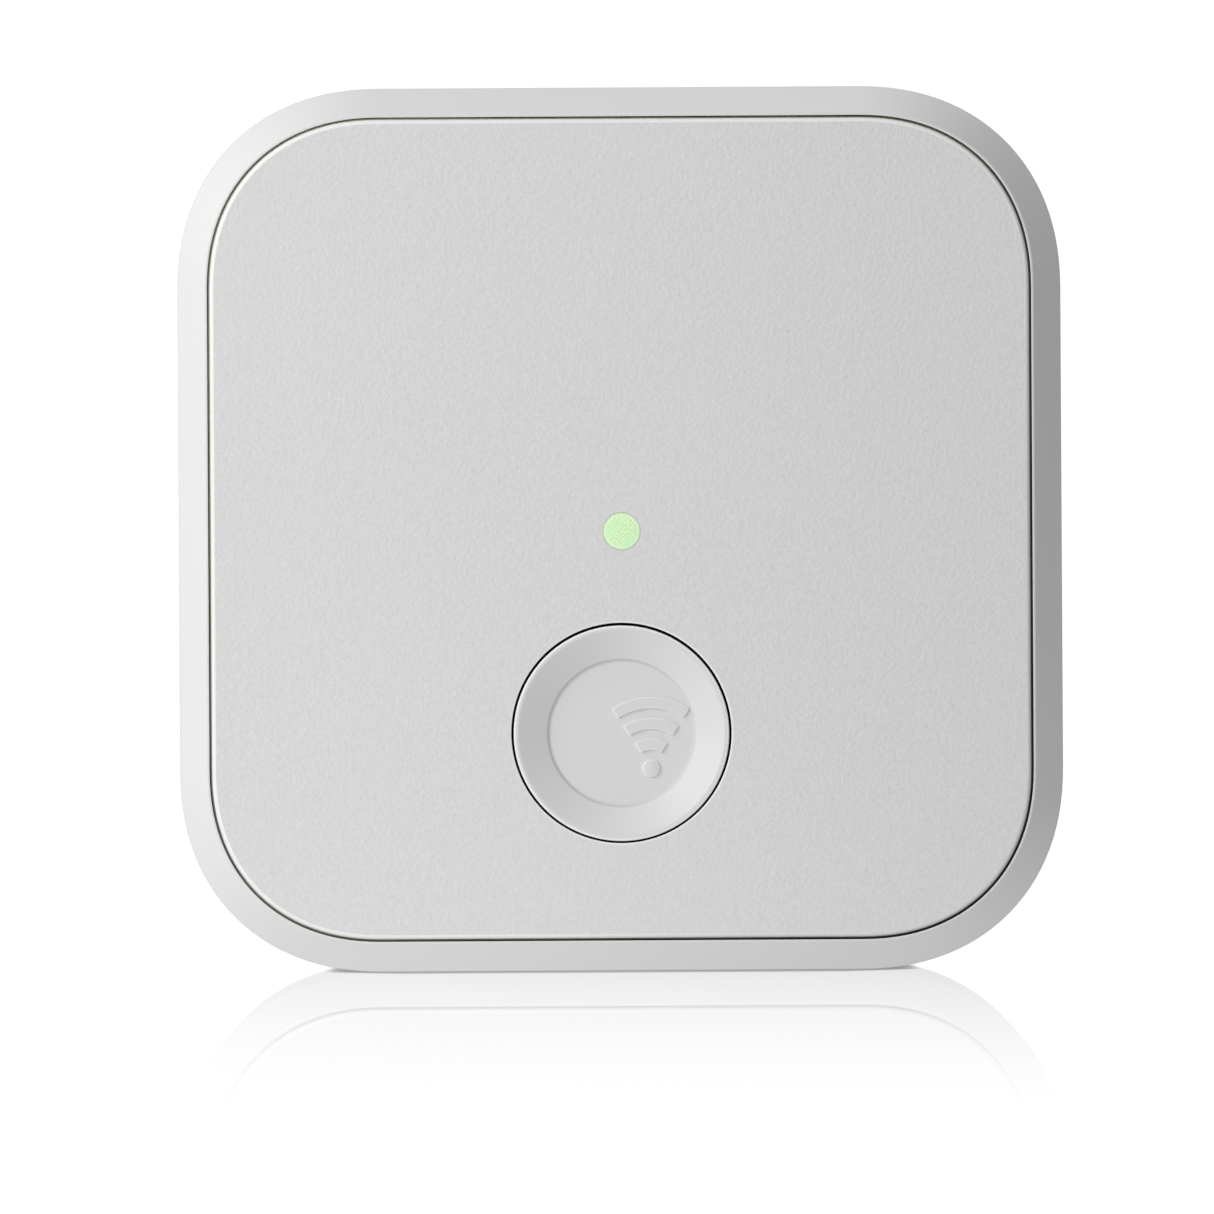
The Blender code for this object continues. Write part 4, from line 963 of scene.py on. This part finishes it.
RINGS = banded(
    "resistor_rings", (0.20, 0.34, 0.27), (0.10, 0.045, 0.02), "X", RESISTOR_X, 1.2 * MM, 0.3, edges=2.4 * MM
)
TURNS = banded("choke_turns", (0.05, 0.05, 0.055), (0.09, 0.09, 0.10), "Y", 0.0, 0.5 * MM, 0.4, 0.35)


def dress(node, material, rounding):
    """Gives a CAD node its material and breaks its sharp edges."""
    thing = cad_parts[node]
    thing.data.materials.clear()
    thing.data.materials.append(material)
    thing.modifiers.new("weld", "WELD").merge_threshold = 0.001 * MM
    smooth(bevelled(thing, rounding, 2, 40), 40)


def make_chip(node, name, sides, count, reach=0.7 * MM, width=0.4 * MM, body=EPOXY):
    """A moulded chip with a dimple at its first pin. sides are the quarter turns from +X that carry count
    bent legs each, down to the board."""
    low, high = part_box(node)
    centre = middle(node)
    lift = 0.12 * MM if sides else 0.0  # its legs hold the body off the board
    chip = rounded_block(name, low, (high.x, high.y - lift, high.z), 0.12 * MM, 2, (body, TIN))
    legs = bmesh.new()
    thick = 0.18 * MM
    foot, shoulder = high.y - thick, high.y - (high.y - low.y) * 0.45
    for turn in sides:
        wide, tall = (high.x - low.x, high.z - low.z)[:: -1 if turn % 2 else 1]
        half, run = wide / 2, tall * 0.8
        root, bend, toe = half - 0.3 * MM, half + 0.32 * reach, half + reach
        place = Matrix.Translation((centre.x, 0, centre.z)) @ Matrix.Rotation(turn * math.pi / 2, 4, "Y")
        outline = [(root, shoulder), (bend + thick, shoulder), (bend + thick, foot), (toe, foot)]
        outline += [(toe, high.y), (bend, high.y), (bend, shoulder + thick), (root, shoulder + thick)]
        for i in range(count):
            along = (i - (count - 1) / 2) * run / count
            plank(legs, place, outline, along - width / 2, along + width / 2, 1)
    first_pin = (low.x + 0.9 * MM, high.z - 0.9 * MM)
    dimple = rod(None, 0.28 * MM, (low.y - MM, low.y + 0.08 * MM), first_pin, 24)
    combine(chip, [legs] if sides else [], [dimple])
    stand_for(chip, node)


def make_can(node, name):
    """An electrolytic capacitor: sleeve with a pale stripe, crimp near the foot, and a scored bare top."""
    low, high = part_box(node)
    centre = middle(node)
    radius = (high.x - low.x) / 2
    corners = [
        (0.0, low.y), (radius - 0.75 * MM, low.y),
        (radius - 0.35 * MM, low.y), (radius, low.y + 0.35 * MM, 0.25 * MM),
        (radius, high.y - 1.9 * MM, 0.2 * MM), (radius - 0.3 * MM, high.y - 1.5 * MM, 0.2 * MM),
        (radius, high.y - 1.1 * MM, 0.2 * MM), (radius, high.y - 0.2 * MM, 0.1 * MM),
        (radius - 0.4 * MM, high.y), (0.0, high.y),
    ]
    can = as_object(name, lathe(filleted(corners), centre.x, centre.z, 64), (SLEEVE, ALUMINIUM, STRIPE))
    for face in can.data.polygons:
        spot = face.center - centre
        if math.hypot(spot.x, spot.z) < radius - 0.72 * MM and spot.y < 0:
            face.material_index = 1
        elif abs(spot.x) < 0.3 * radius and spot.z > 0.5 * radius:
            face.material_index = 2
    deep = 0.12 * MM
    scores = crossed(centre.x, centre.z, (low.y - MM, low.y + deep), 0.6 * radius, deep)
    for face in [face for score in scores for face in score.faces]:
        face.material_index = 1
    combine(can, cut=scores)
    stand_for(can, node)


def make_shield():
    """The radio's folded tin cover, with vent holes in its top."""
    low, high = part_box("radio_shield")
    centre = middle("radio_shield")
    wall, pitch = 0.2 * MM, 1.6 * MM
    can = rounded_block("radio_can", low, high, 0.35 * MM, 3, (TIN,))
    hollow, vents = bmesh.new(), bmesh.new()
    block(hollow, low + Vector((wall, wall, wall)), high + Vector((-wall, MM, -wall)))
    for column in range(-2, 3):
        for row in range(-1, 2):
            place = (centre.x + column * pitch, centre.z + row * pitch)
            rod(vents, 0.4 * MM, (low.y - MM, low.y + MM), place, 24)
    combine(can, cut=[hollow, vents])
    stand_for(can, "radio_shield")


def make_spring():
    """The button's flat spring in two pieces: its ring goes with the cap, and its arms run from the staked
    pad down to the foot."""
    low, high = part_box("button_spring")
    through = (low.y - MM, high.y + MM)
    centre, between, half_foot, half_pad = (0, BUTTON_Z), 8.8 * MM, 14, 5.0 * MM
    start, end = 270 - half_foot, 270 + half_foot
    ring_edge = arc_points(centre, 7.8 * MM, end, start + 360, 96)
    ring_edge += arc_points(centre, between, start, end, 12)
    arms_edge = arc_points(centre, 10.0 * MM, 120, 420, 96) + [(half_pad, high.z), (-half_pad, high.z)]
    arms_hole = prism([arc_points(centre, between, 90, 450, 96)[:-1]], through[1], through[0])
    ring_cuts = [rod(None, 6.4 * MM, through, centre)]
    arms_cuts = [arms_hole] + [rod(None, 0.7 * MM, through, stake, 32) for stake in STAKES]
    pieces = []
    for name, edge, cuts in (("spring_ring", ring_edge, ring_cuts), ("spring_arms", arms_edge, arms_cuts)):
        piece = as_object(name, prism([edge], high.y, low.y), (SPRING,))
        combine(piece, cut=cuts)
        pieces.append(apply_modifiers(bevelled(piece, 0.05 * MM, 2)))
    ring, arms = pieces
    stand_for(ring, "button_spring", "button")
    bend_for(arms, "button_spring")


def make_switch():
    """The tactile switch: base with legs, turned plunger and the dome that snaps under it."""
    make_chip("switch_base", "switch_body", (0, 2), 2, 0.8 * MM, 0.7 * MM, PHENOLIC)
    dress("switch_frame", TIN, 0.03 * MM)
    low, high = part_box("switch_plunger")
    tip = 1.6 * MM
    corners = [
        (0.0, low.y), (tip, low.y, 0.12 * MM),
        (tip, high.y - 0.5 * MM), (high.x, high.y - 0.5 * MM, 0.05 * MM),
        (high.x, high.y, 0.05 * MM), (0.0, high.y),
    ]
    plunger = as_object("switch_button", lathe(filleted(corners), z=BUTTON_Z, steps=64), (PHENOLIC,))
    stand_for(plunger, "switch_plunger", "plunger")

    low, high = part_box("switch_dome")
    thick = 0.1 * MM
    rise = high.y - low.y - thick
    shares = [i / 12 for i in range(13)]
    outer = [(high.x * s, high.y - thick - rise * (1 - s * s)) for s in shares]
    inner = [(radius, y + thick) for radius, y in reversed(outer)]
    dome = as_object("snap_dome", lathe(outer + inner, z=BUTTON_Z, steps=64), (SPRING,))
    bend_for(dome, "switch_dome")


def make_lamp():
    """The lamp on the logic board and the black shroud between it and the pipe."""
    lamp = rounded_block("status_lamp", *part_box("status_led"), 0.08 * MM, 2, (FIRED, PHOSPHOR))
    for face in lamp.data.polygons:
        face.material_index = 1 if face.normal.y < -0.9 else 0
    stand_for(lamp, "status_led")
    low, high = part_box("light_shroud")
    corners = [
        (high.x, low.y, 0.1 * MM), (high.x, high.y, 0.1 * MM),
        (1.5 * MM, high.y, 0.1 * MM), (1.25 * MM, low.y, 0.1 * MM),
    ]
    profile = filleted(corners)
    ring = lathe(profile + profile[:1], z=LIGHT_Z, steps=64)
    bmesh.ops.remove_doubles(ring, verts=ring.verts, dist=0.0005 * MM)
    shroud = as_object("lamp_shroud", ring, (PHENOLIC,))
    stand_for(shroud, "light_shroud")


def make_insides():
    """Everything behind the front plate. Chips have their legs on quarter turns from +X, so many a side."""
    for node, name, *legs in (
        ("processor_chip", "main_chip", (), 0),
        ("radio_chip", "radio_core", (), 0),
        ("memory_chip", "flash_chip", (0, 2), 4),
        ("power_chip", "switcher_chip", (1, 3), 3, 0.6 * MM),
        ("bridge_rectifier", "bridge_block", (0, 2), 2, 0.5 * MM, 0.8 * MM),
        ("optocoupler", "opto_block", (0, 2), 2, 0.7 * MM, 0.5 * MM),
        ("output_diode", "diode_block", (0, 2), 1, 0.6 * MM, 1.4 * MM),
    ):
        make_chip(node, name, *legs)
    make_can("bulk_capacitor_1", "bulk_can_1")
    make_can("bulk_capacitor_2", "bulk_can_2")
    make_can("output_capacitor", "output_can")
    make_shield()
    make_spring()
    make_switch()
    make_lamp()
    for material, rounding, nodes in (
        (GREEN_BOARD, 0.02 * MM, ("logic_board", "mains_board")),
        (BLUE_BOARD, 0.02 * MM, ("radio_board",)),
        (HOOD, 0.15 * MM, ("insulating_hood",)),
        (PHENOLIC, 0.10 * MM, ("blade_clamp", "link_header")),
        (PHENOLIC, 0.12 * MM, ("transformer_bobbin",)),
        (FERRITE, 0.15 * MM, ("transformer_core_upper", "transformer_core_lower")),
        (TAPE, 0.10 * MM, ("transformer_winding",)),
        (FERRITE, 0.10 * MM, ("power_inductor",)),
        (TURNS, 0.05 * MM, ("input_choke",)),
        (DIPPED, 0.05 * MM, ("safety_capacitor",)),
        (RINGS, 0.03 * MM, ("fusible_resistor",)),
        (FIRED, 0.05 * MM, ("chip_antenna",)),
        (TIN, 0.05 * MM, ("crystal",)),
        (BRASS, 0.12 * MM, [f"link_pin_{number}" for number in range(1, 5)]),
    ):
        for node in nodes:
            dress(node, material, rounding)


# ---- stage


def make_floor():
    """A white glossy table that glows, dims close under the hub and mirrors less farther off."""
    bm = bmesh.new()
    level, half_width = Matrix.Translation((0, 0, FLOOR_Z)), 4.0
    bmesh.ops.create_grid(bm, x_segments=1, y_segments=1, size=half_width, matrix=level)
    nodes = Nodes(bpy.data.materials.new("white_table"))
    floor = as_object("floor", bm, (nodes.owner,))
    place = nodes.add("NewGeometry").outputs["Position"]
    near = nodes.ramp(nodes.distance(place, (0.0, FRONT / 2, FLOOR_Z)), 1.0, 0.0, 0.008, 0.27)
    grazing = nodes.ramp(nodes.add("Fresnel", {"IOR": 1.5}).outputs[0], 0.05, 0.48, 0.04, 0.85)
    share = nodes.times(nodes.math("POWER", near, 1.5), grazing)
    seen = nodes.add("LightPath").outputs["Is Camera Ray"]
    across = nodes.axis(place, "X")
    # Painted contact shadow: ambient occlusion darkens the glowing table close under the hub, over a shorter
    # reach where the hub rounds away.
    reach = nodes.ramp(nodes.math("ABSOLUTE", across), 1.9 * MM, 0.45 * MM, 15.0 * MM, 20.0 * MM)
    contact_shadow = nodes.add("AmbientOcclusion", {"Distance": reach}, samples=12).outputs["AO"]
    right = nodes.ramp(across, 0.88, 0.21, -0.04, 0.13, smooth=True)
    bounce = nodes.times(right, nodes.ramp(across, 0.80, 1.0, -0.11, -0.02))
    white = nodes.ramp(contact_shadow, 0.10, 1.02)
    strength = nodes.add("Mix", {0: seen, 2: bounce, 3: white}, data_type="FLOAT").outputs[0]
    emission = nodes.add("Emission", {"Color": (1, 1, 1), "Strength": strength})
    mirror = nodes.add("BsdfGlossy", {"Color": (1, 1, 1), "Roughness": 0.012})
    surface = nodes.add("MixShader", {0: share, 1: emission.outputs[0], 2: mirror.outputs[0]})
    nodes.add("OutputMaterial", {"Surface": surface.outputs[0]})


def make_world():
    """White to the camera; as light, brighter on the left and behind than on the right and in front."""
    nodes = Nodes(bpy.data.worlds.new("studio"))
    bpy.context.scene.world = nodes.owner
    direction = nodes.add("TexCoord").outputs["Generated"]
    leftward = nodes.ramp(nodes.axis(direction, "X"), 1.12, 0.57, -1.0, 1.0)
    ahead = nodes.ramp(nodes.axis(direction, "Y"), 0.54, 0.80, -0.2, 0.5, smooth=True)
    upward = nodes.ramp(nodes.axis(direction, "Z"), 1.0, 1.14)
    light = nodes.times(nodes.times(leftward, ahead), upward)
    path = nodes.add("LightPath")
    behind = nodes.math("GREATER_THAN", nodes.axis(direction, "Y"), 0.9)
    mirrored = nodes.times(path.outputs["Is Glossy Ray"], behind)
    seen = nodes.math("MAXIMUM", path.outputs["Is Camera Ray"], mirrored)
    strength = nodes.add("Mix", {0: seen, 2: light, 3: 1.03}, data_type="FLOAT").outputs[0]
    background = nodes.add("Background", {"Color": (1, 1, 1), "Strength": strength})
    nodes.add("OutputWorld", {"Surface": background.outputs[0]})


def area_light(name, place, target, size, power):
    data = bpy.data.lights.new(name, "AREA")
    data.shape = "SQUARE"
    data.size = size
    data.energy = power
    light = link(bpy.data.objects.new(name, data))
    light.location = place
    light.rotation_euler = (Vector(target) - Vector(place)).to_track_quat("-Z", "Y").to_euler()
    light.visible_camera = False


def make_camera():
    """Far off and level, a little under the hub's centre and rolled by a third of a degree."""
    distance, drop, aside, roll = 0.796, 5.3 * MM, -0.93 * MM, -0.33
    data = bpy.data.cameras.new("camera")
    data.lens = 350.0
    data.sensor_width = 36.0
    data.clip_start = 0.01
    camera = link(bpy.data.objects.new("camera", data))
    level = Matrix.Translation((aside, FRONT - distance, -drop)) @ Matrix.Rotation(math.pi / 2, 4, "X")
    camera.matrix_world = level @ Matrix.Rotation(math.radians(roll), 4, "Z")
    bpy.context.scene.camera = camera


make_shell()
make_front_plate()
make_button()
make_light_pipe()
make_rear_panel()
make_blades()
for node in sorted(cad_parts):
    if "_screw_" in node:
        make_screw(node, "fixing_" + node)
make_label()
make_insides()

make_floor()
make_world()
hub_centre = (0.0, FRONT / 2, 0.0)
area_light("key", (-0.30, -0.26, 0.17), hub_centre, 0.28, 0.68)
area_light("fill", (-0.13, -0.14, 0.115), hub_centre, 0.08, 0.045)
make_camera()
bpy.context.scene.view_settings.view_transform = "Standard"
